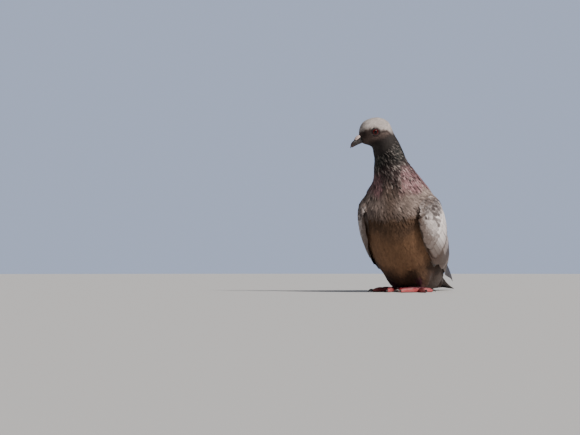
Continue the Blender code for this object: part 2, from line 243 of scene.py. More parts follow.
skin_mesh = closed_over(BODY_NODES + ARM_NODES, FORM_VOXEL)
skin_points = points_of(skin_mesh)
coat_depth = np.interp(along_body(skin_points)[0], COAT_PLACES, COAT_DEPTH)[:, None] * MM
place_points(skin_mesh, tapered(skin_points - normals_of(skin_mesh) * coat_depth))
relax(skin_mesh, 3)
skin_mesh = revoxel(skin_mesh, SKIN_VOXEL)
relax(skin_mesh, 3)

LOWEST_DOWN = 1.3          # how far above the floor the lowest feathers hang, in mm
BELLY_SAG = 4.5            # how far the belly's loose feathers hang below its solid, in mm
SAG_HIGH = (7, 26)         # the heights, in mm, that the sag is full at and has ended at
THIGH_SMOOTH = (9, 22)     # the same for how far from a thigh its outline is smoothed, in mm


def plumage_form(names):
    """The surface that the tips of the feathers reach: smooth over the thighs and full below."""
    mesh = closed_over(names, FORM_VOXEL)
    points = points_of(mesh)
    thighs = [node_middle(f"thigh_{side}") for side in SIDES]
    far = np.min([np.linalg.norm(points - thigh, axis=1) for thigh in thighs], axis=0) / MM
    relax(mesh, 90, 0.5 * (1 - step(*THIGH_SMOOTH, far))[:, None])
    points = points_of(mesh)
    high = points[:, 2] / MM
    sagged = high - BELLY_SAG * (1 - step(*SAG_HIGH, high))
    points[:, 2] = np.maximum(sagged, np.minimum(high, LOWEST_DOWN)) * MM
    place_points(mesh, tapered(points))
    return mesh


# The feathers are laid on the body alone, or on the body with its folded arms.
BODY_FORM = plumage_form(BODY_NODES + ["tail"])
BODY_TREE = tree_of(BODY_FORM)
COVER_TREE = tree_of(plumage_form(BODY_NODES + ARM_NODES + ["tail"]))


def srgb(red, green, blue):
    """A shade named by its 0 to 255 values, as light."""
    return np.array([(c / 255 / 12.92) if c < 10 else ((c / 255 + 0.055) / 1.055) ** 2.4
                     for c in (red, green, blue)])


def mixed(colours, *layers):
    """Colours with others laid over them in turn, each given with its share at every place."""
    for colour, share in layers:
        colours = colours + np.asarray(share)[..., None] * (colour - colours)
    return colours


# The bird's markings, which the skin and the feathers share, with painted shade and painted glints among
# them.
CROWN = srgb(178, 168, 163)
FACE = srgb(78, 65, 60)
LORES = srgb(46, 36, 33)
EAR = srgb(112, 97, 91)
THROAT = srgb(36, 29, 28)
NAPE = srgb(52, 47, 45)
NECK_BLACK = srgb(20, 18, 18)
NECK_GREEN = srgb(27, 34, 30)
NECK_PLUM = srgb(60, 47, 46)
NECK_PINK = srgb(152, 112, 116)
# Pale streaks painted on the neck's feathers as glints of light.
HACKLE_GLINT = srgb(158, 148, 141)
BREAST = srgb(96, 80, 71)
BREAST_SIDE = srgb(138, 122, 114)
SHOULDER = srgb(78, 68, 66)
# The red shanks painted dark purple as shade under the belly.
SHADED_SHANK = srgb(82, 42, 54)
# Colours that begin and are full so far down the body in mm, and how far their edge wavers.
BELOW_BREAST = (
    # The first, darker band just under the breast is painted shade from the breast that hangs over it.
    (srgb(87, 66, 51), 121, 127, 2), (srgb(118, 88, 65), 130, 148, 4),
    (srgb(62, 44, 33), 164, 182, 5), (srgb(66, 51, 42), 190, 212, 0),
)
BACK_AND_RUMP = ((srgb(136, 126, 123), 98, 112), (srgb(158, 150, 147), 165, 190))
# The lower edge of the pale cap, from the back of the head to the bill: mm ahead, mm up.
CAP_AHEAD = (-24, -19, -15, -5, 0, 4, 12, 17)
CAP_EDGE = (-17, -10.5, -3, 0.4, 3.8, 6.6, 7.6, 9.2)
BACK_WAY = (0, 0.75, 0.66)
TUFT_DOWN, TUFT_FLANK = 113, (14, 8)       # a pale tuft each side of the lower breast, in mm
HACKLES_BEGIN, HACKLES_END = (42, 54), (96, 112)     # pointed, streaky feathers of the neck, in mm
STREAK_GIRTH = 26          # the body's radius that streaks are spread round, in mm
STREAK_SWEEP = 0.55


def waves(points, size, seed):
    """Slow, smooth change over the body, between -1 and 1."""
    draw = np.random.RandomState(seed)
    ways = unit(draw.normal(size=(5, 3)))
    phases = draw.uniform(0, 2 * math.pi, 5)
    return np.sin(points @ ways.T * 2 * math.pi / size + phases).mean(axis=1) * 1.6


def streaks(points, down, width, length, seed):
    """Fine lines that run down the body the way its feathers lie, between -1 and 1."""
    off = off_spine(points, down)
    line = np.arctan2(off[:, 0], -off[:, 1] + 0.4 * off[:, 2]) * STREAK_GIRTH
    line = line - STREAK_SWEEP * np.minimum(down, 120)
    draw = np.random.RandomState(seed)
    total = np.zeros(len(points))
    for _ in range(9):
        wide, long, phase = (draw.uniform(*reach) for reach in ((0.7, 1.6), (0.7, 2), (0, 2 * math.pi)))
        turns = line / (width * wide) + draw.choice((-1, 1)) * down / (length * long)
        total += np.sin(2 * math.pi * turns + phase)
    return total / 3.4


def blot(value, middle, reach):
    """1 at the middle, and fading over the reach to both sides."""
    return np.exp(-((value - middle) / reach) ** 2)


def markings_and_painted_light(points):
    """The plumage's colour at places on the body, with some painted shade and painted glints."""
    down, _ = along_body(points)
    _, ahead, up = on_head(points).T
    high = points[:, 2]
    dorsal = step(0.0, 0.6, unit(off_spine(points, down)) @ unit(np.array(BACK_WAY)))
    flank = np.abs(points[:, 0] - MIDDLE_X) / MM
    ripple = waves(points, 21 * MM, 3)
    shoulder = step(33, 39, flank) * blot(high / MM, 102, 9)
    green = step(46, 56, down) * (1 - step(62, 76, down)) * step(4, 12, flank)
    pink = step(80, 95, down + 3 * ripple) * (1 - step(101, 108, down + 3 * ripple))
    colour = mixed(
        np.tile(BREAST, (len(points), 1)),
        (BREAST_SIDE, step(12, 30, flank + 3 * ripple) * step(94, 104, down)),
        (BREAST_SIDE, 0.8 * blot(down, TUFT_DOWN, 8) * blot(flank, *TUFT_FLANK)),
        (SHOULDER, shoulder * (0.45 + 0.5 * step(-0.3, 0.4, waves(points, 6 * MM, 61)))),
        *((shade, step(begin, full, down + wave * ripple)) for shade, begin, full, wave in BELOW_BREAST),
        *((shade, dorsal * step(begin, full, down)) for shade, begin, full in BACK_AND_RUMP),
        (NECK_PLUM, 1 - step(92, 110, down + 4 * ripple)),
        (NECK_BLACK, 1 - step(66, 92, down + 5 * ripple)),
        (NECK_GREEN, 0.6 * green),
        (NECK_PINK, 0.62 * step(9, 17, flank) * pink),
    )
    fine = streaks(points, down, 3.0, 14, 31)
    hackles = step(*HACKLES_BEGIN, down) * (1 - step(*HACKLES_END, down))
    contrast = 0.7 * hackles + 0.3 * step(92, 108, down) * (1 - step(120, 130, down))
    on_the_head = 1 - step(25, 35, down + 0.3 * (ahead + 10) - 0.25 * (up + 4).clip(-10, 6))
    ear = (0.7 + 0.3 * waves(points, 3 * MM, 23)) * blot(ahead, -11, 5) * blot(up, -7, 4)
    over_edge = up - np.interp(ahead, CAP_AHEAD, CAP_EDGE)
    ragged = 0.7 * waves(points, 5 * MM, 19) + 0.5 * waves(points, 2.4 * MM, 20)
    cap = step(-3.0, 2.2, over_edge + ragged)
    stripe = blot(over_edge, -2.2, 1.5) * step(-18, -14, ahead) * (1 - step(-3, 1, ahead))
    leg = 1 - step(5 * MM, 9 * MM, np.min([from_shank(points, side) for side in SIDES], axis=0))
    round_eye = np.minimum(*(np.linalg.norm(points - eye, axis=1) / MM for eye in EYES.values()))
    colour = mixed(
        colour * (1 + contrast * fine).clip(0.15, 2)[:, None],
        # Painted glints on the hackles' pale streaks.
        (HACKLE_GLINT, 0.5 * hackles * step(0.5, 1.2, fine)),
        (NAPE, 1 - step(36, 52, down + 3 * ripple)),
        (THROAT, on_the_head),
        (FACE, on_the_head * step(-14, -7, up + 0.5 * ripple)),
        (EAR, on_the_head * ear),
        (LORES, on_the_head * 0.85 * blot(ahead, 11, 4.5) * blot(up, 1, 4.5)),
        (CROWN, on_the_head * cap),
        (LORES, 0.75 * on_the_head * stripe),
        # Painted shade on the hide round the legs, low under the belly.
        (SHADED_SHANK * 0.7, leg * (1 - step(8 * MM, 14 * MM, high))),
        (LORES, 0.8 * (1 - step(7.2, 9.6, round_eye)) * (1 - 0.7 * cap)),
    )
    soft = streaks(points, down, 7, 60, 33) * step(120, 140, down)
    shade = 1 + 0.06 * waves(points, 9 * MM, 8) + 0.09 * soft
    shade *= 1 + 0.12 * on_the_head * waves(points, 3.6 * MM, 17)
    return colour * shade[:, None]


# ---- Legs and feet -------------------------------------------------------------------
# Bare legs and toes in hard red skin: a row of broad plates runs along the top of each toe,
# small grains cover the sides and soft pads the soles. They are part of the same hide.

TOES = ("hind", "inner", "middle", "outer")
FOOT_NODES = {side: [f"shank_{side}"] + [f"toe_{side}_{toe}" for toe in TOES] for side in SIDES}
TOE_TOP = (4.5, 6)         # heights, in mm, where the toes end and the shank begins
TOE_RISE = 1.35            # toes stand this much higher than their solids, with their joints
TOE_FULL = 0.3             # and this much fuller, in mm
TOE_ROOT = 2 * MM          # how far from the foot's middle the toes part
FOOT_VOXEL = 0.42 * MM
PLATE_LENGTH = 1.75
SHANK_RING = 1.6           # height of a plate round the shank, in mm
FOOT_RED = srgb(164, 48, 58)
FOOT_PALE = srgb(220, 156, 148)
# Painted shade in the grooves between the plates and low down, where the feet meet the floor.
FOOT_SHADE = srgb(88, 28, 38)


def arched(points):
    """Lifts the tops of toes and claws, whose soles stay on the floor."""
    high = points[:, 2] / MM
    raised = points.copy()
    rise = np.where(high < TOE_TOP[1], high * (1 + (TOE_RISE - 1) * (1 - step(*TOE_TOP, high))), high)
    raised[:, 2] = np.maximum(rise * MM, 0)
    return raised


def foot_form(side):
    """A foot's surface with its plates, and the colour of every corner."""
    mesh = closed_over(FOOT_NODES[side], FOOT_VOXEL, 0.25 * MM, 3)
    points, normals = points_of(mesh), normals_of(mesh)
    pad = node_middle(f"shank_{side}")
    best = np.full(len(points), np.inf)
    along = np.zeros(len(points))
    for toe in TOES:
        way = unit((np.mean(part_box(f"claw_{side}_{toe}"), axis=0) - pad) * (1, 1, 0))
        out = (points - pad) @ way
        off = np.abs((points - pad) @ np.array([-way[1], way[0], 0]))
        near = np.where(out > TOE_ROOT, off, off + 9 * MM)
        along = np.where(near < best, out / MM, along)
        best = np.minimum(near, best)
    high = points[:, 2] / MM
    raised = step(5, 7.5, high)
    on_top = step(0.15, 0.6, normals[:, 2]) * (1 - raised)
    turn = along / PLATE_LENGTH
    plate = turn - np.floor(turn)
    groove = 1 - step(0, 0.2, plate) * step(0, 0.16, 1 - plate)
    grain = waves(points, 1.5 * MM, 5) * waves(points, 1.1 * MM, 6)
    around = np.arctan2(points[:, 1] - pad[1], points[:, 0] - pad[0])
    rings = 0.5 + 0.5 * np.cos(2 * math.pi * points[:, 2] / MM / SHANK_RING)
    push = on_top * (0.16 - 0.42 * groove) + (1 - on_top) * 0.12 * grain
    push += raised * (0.14 * rings - 0.1 + 0.05 * np.cos(3 * around)) + TOE_FULL * (1 - raised)
    free = step(0.2, 0.9, high)
    points = arched(points + normals * (push * free)[:, None] * MM)
    place_points(mesh, points)
    return mesh, mixed(
        np.tile(FOOT_RED, (len(points), 1)),
        (FOOT_PALE, on_top * (1 - groove) * (0.25 + 0.35 * waves(points, 6 * MM, 4))),
        (FOOT_SHADE, np.clip(on_top * groove * 0.8 + (1 - free) * 0.5, 0, 1)),
        (FOOT_PALE, (1 - on_top) * (1 - raised) * 0.18 * (1 + grain).clip(0, 2)),
        # The shank above the toes is painted purple as shade under the belly.
        (SHADED_SHANK, step(3.2, 6.5, points[:, 2] / MM)),
    )


# ---- Eyes and lids -------------------------------------------------------------------
# A wet ball with a black pupil and a fiery orange-red iris, deep in its socket. A narrow rim
# of bare, finely wrinkled skin closes over its edge and belongs to the hide.

EYE_FORWARD, EYE_DOWN = 0.2, 0.06
CORNEA_BULGE, CORNEA_EDGE = 0.42 * MM, math.radians(42)
LID_OPENING = (36, 30)     # half width and half height of the opening, in degrees on the ball
LID_CORNERS = (5.0, 3.5)   # how much wider the opening is at its front and back corners
LID_OUTER = 57             # where the rim ends under the feathers, in degrees
LID_THICKNESS = 0.34
LID_HOOD = 0.6             # how much thicker the upper lid is, in mm
LID_FOLD, LID_GRAIN = 0.13, 0.05
LID_TUCK = 1.1             # how far the rim's outer part is drawn in, in mm
LID_DEPTH = 0.5 * MM
LID_SKIN = srgb(52, 35, 33)
LID_EDGE = srgb(26, 14, 14)
# The iris from its middle out: a share of 60 degrees on the ball, and its colour there.
# Its colours are darkened as painted shade from the brow over the eye.
IRIS = (
    (0.0, (0.004, 0.003, 0.003)), (0.33, (0.004, 0.003, 0.003)), (0.355, (0.11, 0.01, 0.006)),
    (0.41, (0.12, 0.006, 0.005)), (0.48, (0.07, 0.004, 0.004)), (0.54, (0.03, 0.003, 0.003)),
    (0.62, (0.012, 0.003, 0.003)), (1.0, (0.008, 0.006, 0.006)),
)


def eye_axes(side):
    """The way the eye looks, with the ways ahead and up across it."""
    out = HEAD_LEFT if side == "left" else -HEAD_LEFT
    gaze = unit(out + EYE_FORWARD * HEAD_AHEAD - EYE_DOWN * HEAD_UP)
    ahead = unit(HEAD_AHEAD - (HEAD_AHEAD @ gaze) * gaze)
    up = np.cross(gaze, ahead)
    return gaze, ahead, up if up @ HEAD_UP > 0 else -up


def lid_form(side, rings=15, points=72):
    """A wrinkled rim of skin over the ball, from the opening out under the feathers."""
    gaze, ahead, up = eye_axes(side)
    outer, colours = [], []
    for i in range(rings):
        share = i / (rings - 1)
        for k in range(points):
            angle = 2 * math.pi * k / points
            front, top = math.cos(angle), math.sin(angle)
            corner = LID_CORNERS[0] * max(front, 0) ** 6 + LID_CORNERS[1] * max(-front, 0) ** 6
            opening = math.hypot(LID_OPENING[0] * front, LID_OPENING[1] * top) + corner
            turn = math.radians(opening + (LID_OUTER - opening) * share)
            fold = LID_FOLD * math.sin(3.2 * 2 * math.pi * share + 0.4 * math.sin(9 * angle))
            grain = LID_GRAIN * math.sin(23 * angle + 9 * share) * min(share * 4, 1)
            hood = LID_HOOD * max(top, 0) * math.sin(math.pi * min(share * 1.6, 1))
            roll = LID_THICKNESS * math.sin(math.pi / 2 * min(share * 5.5, 1))
            high = EYE_RADIUS + (0.06 + roll + hood + (fold + grain) * step(0.1, 0.3, share)) * MM
            high -= LID_TUCK * MM * step(0.6, 1.0, share)
            place = gaze * math.cos(turn) + (ahead * front + up * top) * math.sin(turn)
            outer.append(EYES[side] + place * high)
            colours.append(LID_EDGE + (LID_SKIN - LID_EDGE) * step(0.05, 0.3, share))
    inner = [EYES[side] + unit(place - EYES[side]) * (EYE_RADIUS - LID_DEPTH) for place in outer]
    count, last = len(outer), (rings - 1) * points
    faces = []
    for i in range(rings - 1):
        for k in range(points):
            a, b = i * points + k, i * points + (k + 1) % points
            faces.append((a, b, b + points, a + points))
            faces.append((a + count + points, b + count + points, b + count, a + count))
    for k in range(points):
        a, b = k, (k + 1) % points
        faces.append((b, a, a + count, b + count))
        faces.append((last + a, last + b, last + b + count, last + a + count))
    if side == "right":
        faces = [face[::-1] for face in faces]
    mesh = bpy.data.meshes.new("lid")
    mesh.from_pydata([tuple(p) for p in outer + inner], [], faces)
    return mesh, np.array(colours + colours)


def paint(mesh, name, colours):
    """Keeps a colour at each corner of a mesh."""
    layer = mesh.attributes.new(name, "FLOAT_COLOR", "POINT")
    full = np.ones((len(colours), 4), np.float32)
    full[:, :3] = np.clip(colours, 0, 1)
    layer.data.foreach_set("color", full.ravel())


def keep_facts(mesh, name, facts):
    """Keeps three numbers at each corner of a mesh."""
    layer = mesh.attributes.new(name, "FLOAT_VECTOR", "POINT")
    layer.data.foreach_set("vector", facts.astype(np.float32).ravel())


def new_finish(name):
    """A new material, with the tree of its shader nodes."""
    material = bpy.data.materials.new(name)
    material.use_nodes = True
    return material, material.node_tree


def plug(tree, made, **inputs):
    """Puts values or sockets into a shader node's inputs, by name or, from i0 on, by number."""
    for key, value in inputs.items():
        socket = made.inputs[int(key[1:]) if key[1:].isdigit() else key.replace("_", " ")]
        if isinstance(value, bpy.types.NodeSocket):
            tree.links.new(value, socket)
        else:
            socket.default_value = value
    return made


def node(tree, kind, settings=(), **inputs):
    """A shader node with its settings and the values or sockets that go in."""
    made = tree.nodes.new(kind)
    for key, value in dict(settings).items():
        setattr(made, key, value)
    return plug(tree, made, **inputs)


def kept(tree, name):
    """What paint() or keep_facts() kept on the mesh."""
    return node(tree, "ShaderNodeAttribute", {"attribute_name": name})


def maths(tree, operation, *values, clamp=False):
    """The result of a sum of up to three values or sockets."""
    inputs = {f"i{place}": value for place, value in enumerate(values)}
    return node(tree, "ShaderNodeMath", {"operation": operation, "use_clamp": clamp}, **inputs).outputs[0]


def mix_colour(tree, blend, share, one, other):
    """The other colour over the one, by a share."""
    settings = {"data_type": "RGBA", "blend_type": blend}
    return node(tree, "ShaderNodeMix", settings, i0=share, i6=one, i7=other).outputs[2]


def finished(material, colour, shade, height, strength, distance, **inputs):
    """Completes a finish: its colour under a grey shade, its relief and its other inputs."""
    tree = material.node_tree
    grey = node(tree, "ShaderNodeCombineColor", i0=shade, i1=shade, i2=shade).outputs[0]
    base = mix_colour(tree, "MULTIPLY", 1.0, colour, grey)
    bump = node(tree, "ShaderNodeBump", Strength=strength, Distance=distance, Height=height)
    plug(tree, tree.nodes["Principled BSDF"], Base_Color=base, Normal=bump.outputs["Normal"], **inputs)
    return material


def hide_finish():
    """Thin pinkish skin in the colours kept on the mesh, finely grained."""
    material, tree = new_finish("hide")
    fine = node(tree, "ShaderNodeTexVoronoi", {"feature": "F1"}, Scale=2600.0).outputs["Distance"]
    slow = node(tree, "ShaderNodeTexNoise", Scale=420.0, Detail=5.0).outputs["Fac"]
    return finished(
        material, kept(tree, "tint").outputs["Color"], maths(tree, "MULTIPLY_ADD", slow, 0.5, 0.74),
        maths(tree, "MULTIPLY_ADD", slow, 0.6, maths(tree, "MULTIPLY", fine, 0.5)),
        strength=0.35, distance=0.2 * MM, Roughness=maths(tree, "MULTIPLY_ADD", slow, 0.3, 0.34),
        Subsurface_Weight=0.12, Subsurface_Radius=(0.0012, 0.0006, 0.0004), Subsurface_Scale=1.0,
    )


def joined(parts):
    """One mesh from (mesh, colours) parts, painted with their colours."""
    whole = bmesh.new()
    for mesh, _ in parts:
        whole.from_mesh(mesh)
    mesh = mesh_from(whole)
    paint(mesh, "tint", np.concatenate([colours for _, colours in parts]))
    return mesh


def keep(piece, slot, finish, *replaced):
    """Fixes a finished piece to the bird."""
    piece.data.materials.clear()
    piece.data.materials.append(finish)
    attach(piece, "root")
    if replaced:
        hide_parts(*replaced)
    return piece


def unwrap(piece):
    """Lays the piece's own surface out flat as the map named OFBake, for its finish."""
    piece.data.uv_layers.new(name="OFBake")
    bpy.context.view_layer.objects.active = piece
    piece.select_set(True)
    bpy.ops.object.mode_set(mode="EDIT")
    bpy.ops.mesh.select_all(action="SELECT")
    bpy.ops.uv.smart_project(angle_limit=math.radians(66), island_margin=0.002)
    bpy.ops.object.mode_set(mode="OBJECT")
    piece.select_set(False)


# The hide carries the plumage's colours, darkened as painted shade from the feathers over it.
HIDE_SHADE = 0.6           # how dark the hide is beside the feathers that cover it

parts = [(skin_mesh, markings_and_painted_light(points_of(skin_mesh)) * HIDE_SHADE)]
parts += [foot_form(side) for side in SIDES] + [lid_form(side) for side in SIDES]
skin = shown("skin", joined(parts))
skin.data.shade_smooth()
flesh = BODY_NODES + ARM_NODES + FOOT_NODES["left"] + FOOT_NODES["right"]
keep(skin, "foot_skin", hide_finish(), *flesh)
unwrap(skin)
SKIN_TREE = tree_of(skin.data)


def ball_form(side, rings=40, points=72):
    """The eyeball with a low cornea, and how far each corner is from the pupil's middle."""
    gaze, ahead, up = eye_axes(side)
    ball = bmesh.new()
    bmesh.ops.create_uvsphere(ball, u_segments=points, v_segments=rings, radius=1)
    turn = Matrix([*zip(ahead, np.cross(gaze, ahead), gaze)]).to_3x3()
    for vertex in ball.verts:
        bulge = CORNEA_BULGE * (1 - step(0, CORNEA_EDGE, vertex.co.angle(Vector((0, 0, 1)), 0)))
        vertex.co = Vector(EYES[side]) + turn @ vertex.co * (EYE_RADIUS + bulge)
    bmesh.ops.recalc_face_normals(ball, faces=ball.faces)
    mesh = mesh_from(ball)
    rays = unit(points_of(mesh) - EYES[side])
    angle = np.degrees(np.arccos(np.clip(rays @ gaze, -1, 1)))
    around = np.arctan2(rays @ up, rays @ ahead)
    keep_facts(mesh, "gaze", np.stack([angle / 60, np.cos(around) * 3, np.sin(around) * 3], axis=1))
    mesh.shade_smooth()
    return mesh


def eye_finish():
    """Wet eye, in painted shade: black pupil, orange inner ring, dark red iris with rays, black outer edge.
    """
    material, tree = new_finish("pigeon_eye")
    spot = kept(tree, "gaze").outputs["Vector"]
    axes = node(tree, "ShaderNodeSeparateXYZ", i0=spot)
    rays = node(tree, "ShaderNodeTexNoise", Vector=spot, Scale=7.0, Detail=6.0).outputs["Fac"]
    wavy = maths(tree, "MULTIPLY_ADD", rays, 0.05, maths(tree, "SUBTRACT", axes.outputs[0], 0.025))
    ramp = node(tree, "ShaderNodeValToRGB", Fac=wavy)
    for place, _ in IRIS[2:]:
        ramp.color_ramp.elements.new(place)
    for element, (place, colour) in zip(ramp.color_ramp.elements, IRIS):
        element.position = place
        element.color = (*colour, 1)
    return finished(
        material, ramp.outputs["Color"], maths(tree, "MULTIPLY_ADD", rays, 1.1, 0.42), rays,
        strength=0.05, distance=0.1 * MM, Roughness=0.12, Coat_Weight=0.05, Coat_Roughness=0.04,
        Specular_IOR_Level=0.18,
    )


eye_coat = eye_finish()
for side in SIDES:
    keep(shown(f"eyeball_{side}", ball_form(side)), "eye", eye_coat, f"eye_{side}")


# ---- Bill, cere and claws ------------------------------------------------------------
# The bill is dark horn over bone in two halves, a little glossy and worn paler along its
# edges, with slit nostrils under the cere: two soft, chalky swellings of skin at its root.
# Each toe ends in a claw of the same horn.

HORN_VOXEL, CLAW_VOXEL = 0.2 * MM, 0.17 * MM
HORN_DARK = srgb(36, 29, 28)
HORN_WORN = srgb(78, 60, 54)
# The nostril slits are painted near black as the shade inside them.
NOSTRIL_SHADE = srgb(14, 10, 10)
CERE_CHALK = srgb(196, 176, 170)
CERE_PINK = srgb(140, 98, 92)
NOSTRIL_AHEAD, NOSTRIL_UP = 21.4, -2.3       # on the head, in mm
NOSTRIL_SLOPE = 0.32
GAPE = 2.6 * MM
GAPE_OVERLAP = 0.12 * MM
CLAW_FULL = 0.15 * MM


def solid_tree(names):
    """A tree to find places on CAD solids."""
    return tree_of(*(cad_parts[name].data for name in names))


def bill_form(name):
    """Half of the bill, with its slit nostrils and fine ridges, paler where it is worn."""
    mesh = closed_over([name], HORN_VOXEL, 0.0, 2)
    side, ahead, up = on_head(points_of(mesh)).T
    slit_up = NOSTRIL_UP - NOSTRIL_SLOPE * (ahead - NOSTRIL_AHEAD)
    slit = blot(up, slit_up, 0.33) * np.exp(-((ahead - NOSTRIL_AHEAD) / 1.5) ** 4)
    slit *= step(0.8, 1.4, np.abs(side))
    ridges = 0.015 * np.sin(ahead * 5.2 + 0.8 * up) * np.sin(up * 3.1)
    push_out(mesh, -(0.42 * slit + ridges)[:, None] * MM)
    worn = 0.35 * step(25, 30.5, ahead) + 0.3 * waves(points_of(mesh), 4 * MM, 9).clip(0)
    colour = np.tile(HORN_DARK, (len(slit), 1))
    return mesh, mixed(colour, (HORN_WORN, worn.clip(0, 1)), (NOSTRIL_SHADE, slit))


def shut(mesh, tree):
    """Raises the top of the lower half to the upper half, so that no light shows between."""
    points, normals = points_of(mesh), normals_of(mesh)
    for number in np.flatnonzero(normals @ HEAD_UP > 0.25):
        far = tree.ray_cast(tuple(points[number]), tuple(HEAD_UP), GAPE)[3]
        if far:
            points[number] += HEAD_UP * (far + GAPE_OVERLAP)
    place_points(mesh, points)
    relax(mesh, 5)


def cere_form():
    """Two folded swellings with a parting between them, pinker below."""
    mesh = closed_over(["cere"], HORN_VOXEL, 0.0, 4)
    points = points_of(mesh)
    side, ahead, up = on_head(points).T
    parting = blot(side, 0, 0.42) * step(-3, -1, up)
    folds = np.sin(ahead * 3.4 + 0.5 * np.cos(side * 2.1)) * 0.07
    push_out(mesh, (folds + 0.06 * waves(points, 1.4 * MM, 12) - 0.42 * parting)[:, None] * MM)
    low = 1 - step(-3.2, 0.2, up + 0.4 * (ahead - 19))
    colour = np.tile(CERE_CHALK, (len(points), 1))
    return mesh, mixed(colour, (CERE_PINK, (0.9 * low + 0.35 * parting - 6 * folds).clip(0, 1)))


def claws_form(names):
    mesh = closed_over(names, CLAW_VOXEL, 0.0, 2)
    place_points(mesh, arched(points_of(mesh) + CLAW_FULL * normals_of(mesh)))
    points = points_of(mesh)
    worn = (0.5 + 0.5 * waves(points, 3 * MM, 15)).clip(0, 1) * 0.6
    return mesh, mixed(np.tile(HORN_DARK, (len(points), 1)), (HORN_WORN, worn))


def horn_finish(name, roughness, grain, depth, coat):
    """Horn or chalky skin in the colours kept on the mesh, with a fine grain."""
    material, tree = new_finish(name)
    fine = node(tree, "ShaderNodeTexNoise", Scale=grain, Detail=6.0).outputs["Fac"]
    return finished(
        material, kept(tree, "tint").outputs["Color"], maths(tree, "MULTIPLY_ADD", fine, 0.55, 0.72),
        fine, strength=0.4, distance=depth,
        Roughness=maths(tree, "MULTIPLY_ADD", fine, 0.25, roughness), Coat_Weight=coat, Coat_Roughness=0.25,
    )


horn = horn_finish("bill_horn", roughness=0.28, grain=900.0, depth=0.1 * MM, coat=0.15)
chalk = horn_finish("cere_chalk", roughness=0.5, grain=1800.0, depth=0.12 * MM, coat=0.0)
claw_nodes = [f"claw_{side}_{toe}" for side in SIDES for toe in TOES]
lower_bill = bill_form("bill_lower")
shut(lower_bill[0], solid_tree(["bill_upper"]))
for name, (mesh, colours), slot, finish, nodes in (
    ("bill_upper_horn", bill_form("bill_upper"), "horn", horn, ["bill_upper"]),
    ("bill_lower_horn", lower_bill, "horn", horn, ["bill_lower"]),
    ("cere_skin", cere_form(), "cere_skin", chalk, ["cere"]),
    ("claws", claws_form(claw_nodes), "horn", horn, claw_nodes),
):
    paint(mesh, "tint", colours)
    mesh.shade_smooth()
    keep(shown(name, mesh), slot, finish, *nodes)


# ---- Body plumage --------------------------------------------------------------------
# Contour feathers grow in the hide and lie back along the body like shingles: each is a thin,
# slightly cupped vane on a fine shaft, whose root is under the feathers before it and whose
# frayed tip shows. They are tiny round the bill and eyes and grow larger down the body.

# Sizes in mm at the same places down the body as the coat's depth.
FEATHER_LENGTH = (3.0, 4.2, 5.6, 8, 10, 12, 14, 17, 18)
FEATHER_HALF_WIDTH = (0.5, 0.6, 0.7, 0.8, 0.85, 1.0, 1.4, 1.8, 2.0)
FEATHER_SPACING = (0.58, 0.68, 0.8, 0.95, 1.05, 1.15, 1.4, 1.7, 1.9)
CONTOUR_THICK = 0.06
CUP = 0.05                 # how much a feather's middle stands up, as a share of its half width
PATCH = 0.003              # a feather's place on the hide's flat map
LENGTH_VARIES, WIDTH_VARIES, TURN_VARIES = (0.85, 1.15), (0.88, 1.12), 0.1
NECK_SWEEP = 0.62          # how far the neck's feathers are swept back, and where in mm
SWEEP_BEGINS, SWEEP_ENDS = (34, 52), (112, 130)
EYE_PARTING = 2.4 * MM     # how far from an eye the feathers part round it
LAP = 0.022                # how much lower a feather's root lies, as a share of its length
WING_LAP = 0.9             # how far feathers that cover a wing's edge stand over it, in mm
SCAPULARS_END = 94 * MM    # feathers of the back reach down over the wings to this height
RUMP_HALF = 26 * MM
TUFT_STAND = 0.9
BIB_EDGE, BIB_STAND = 127, 0.85      # the breast's feathers end here and stand over the belly's
SUNK = -4.0                # height, in mm, of feathers that would slip down over a wing
# Where no feathers grow, in mm: round an eye, on the bill, on a shank and under a folded wing.
EYE_BARE = 4.05
BILL_AHEAD, BILL_HALF, BILL_DOWN = 15.8, 4.2, 12
SHANK_BARE, SHANK_HIGH = 3.8 * MM, 5.5 * MM
UNDER_WING, UNDER_WING_END = 7 * MM, 160
WING_OVER = 16 * MM        # a wing that lies higher than this over a place doesn't cover it
TRUNK_OVERHANG = 3 * MM
# Feathers lie over a wing where they face this way, or grow so near before its bend, this far
# down the body.
FACES_BACK, BACK_FACING = (0, 0.6, 0.8), 0.35
BEND_NEAR, BEND_BEFORE, COVER_FROM = 15 * MM, 0.45, 60
HEAD_END, NECK_MIDDLE, NECK_END, BREAST_END, BELLY_END = 34, 68, 94, 126, 163


def vane_faces(rows, columns):
    """Faces of a closed, thin vane: a top grid and an under side that meets it at the rim."""
    def top(i, j):
        return i * (columns + 1) + j

    def under(i):
        return (rows + 1) * (columns + 1) + i - 1

    faces = [(top(i, j), top(i + 1, j), top(i + 1, j + 1), top(i, j + 1))
             for i in range(rows) for j in range(columns)]
    for i in range(1, rows - 1):
        faces.append((top(i, 0), under(i), under(i + 1), top(i + 1, 0)))
        faces.append((under(i), top(i, columns), top(i + 1, columns), under(i + 1)))
    for j in range(columns):
        faces.append((top(0, j), top(0, j + 1), under(1)))
        faces.append((under(rows - 1), top(rows, j + 1), top(rows, j)))
    faces.append((top(0, 0), under(1), top(1, 0)))
    faces.append((top(0, columns), top(1, columns), under(1)))
    faces.append((top(rows - 1, 0), under(rows - 1), top(rows, 0)))
    faces.append((under(rows - 1), top(rows - 1, columns), top(rows, columns)))
    return faces


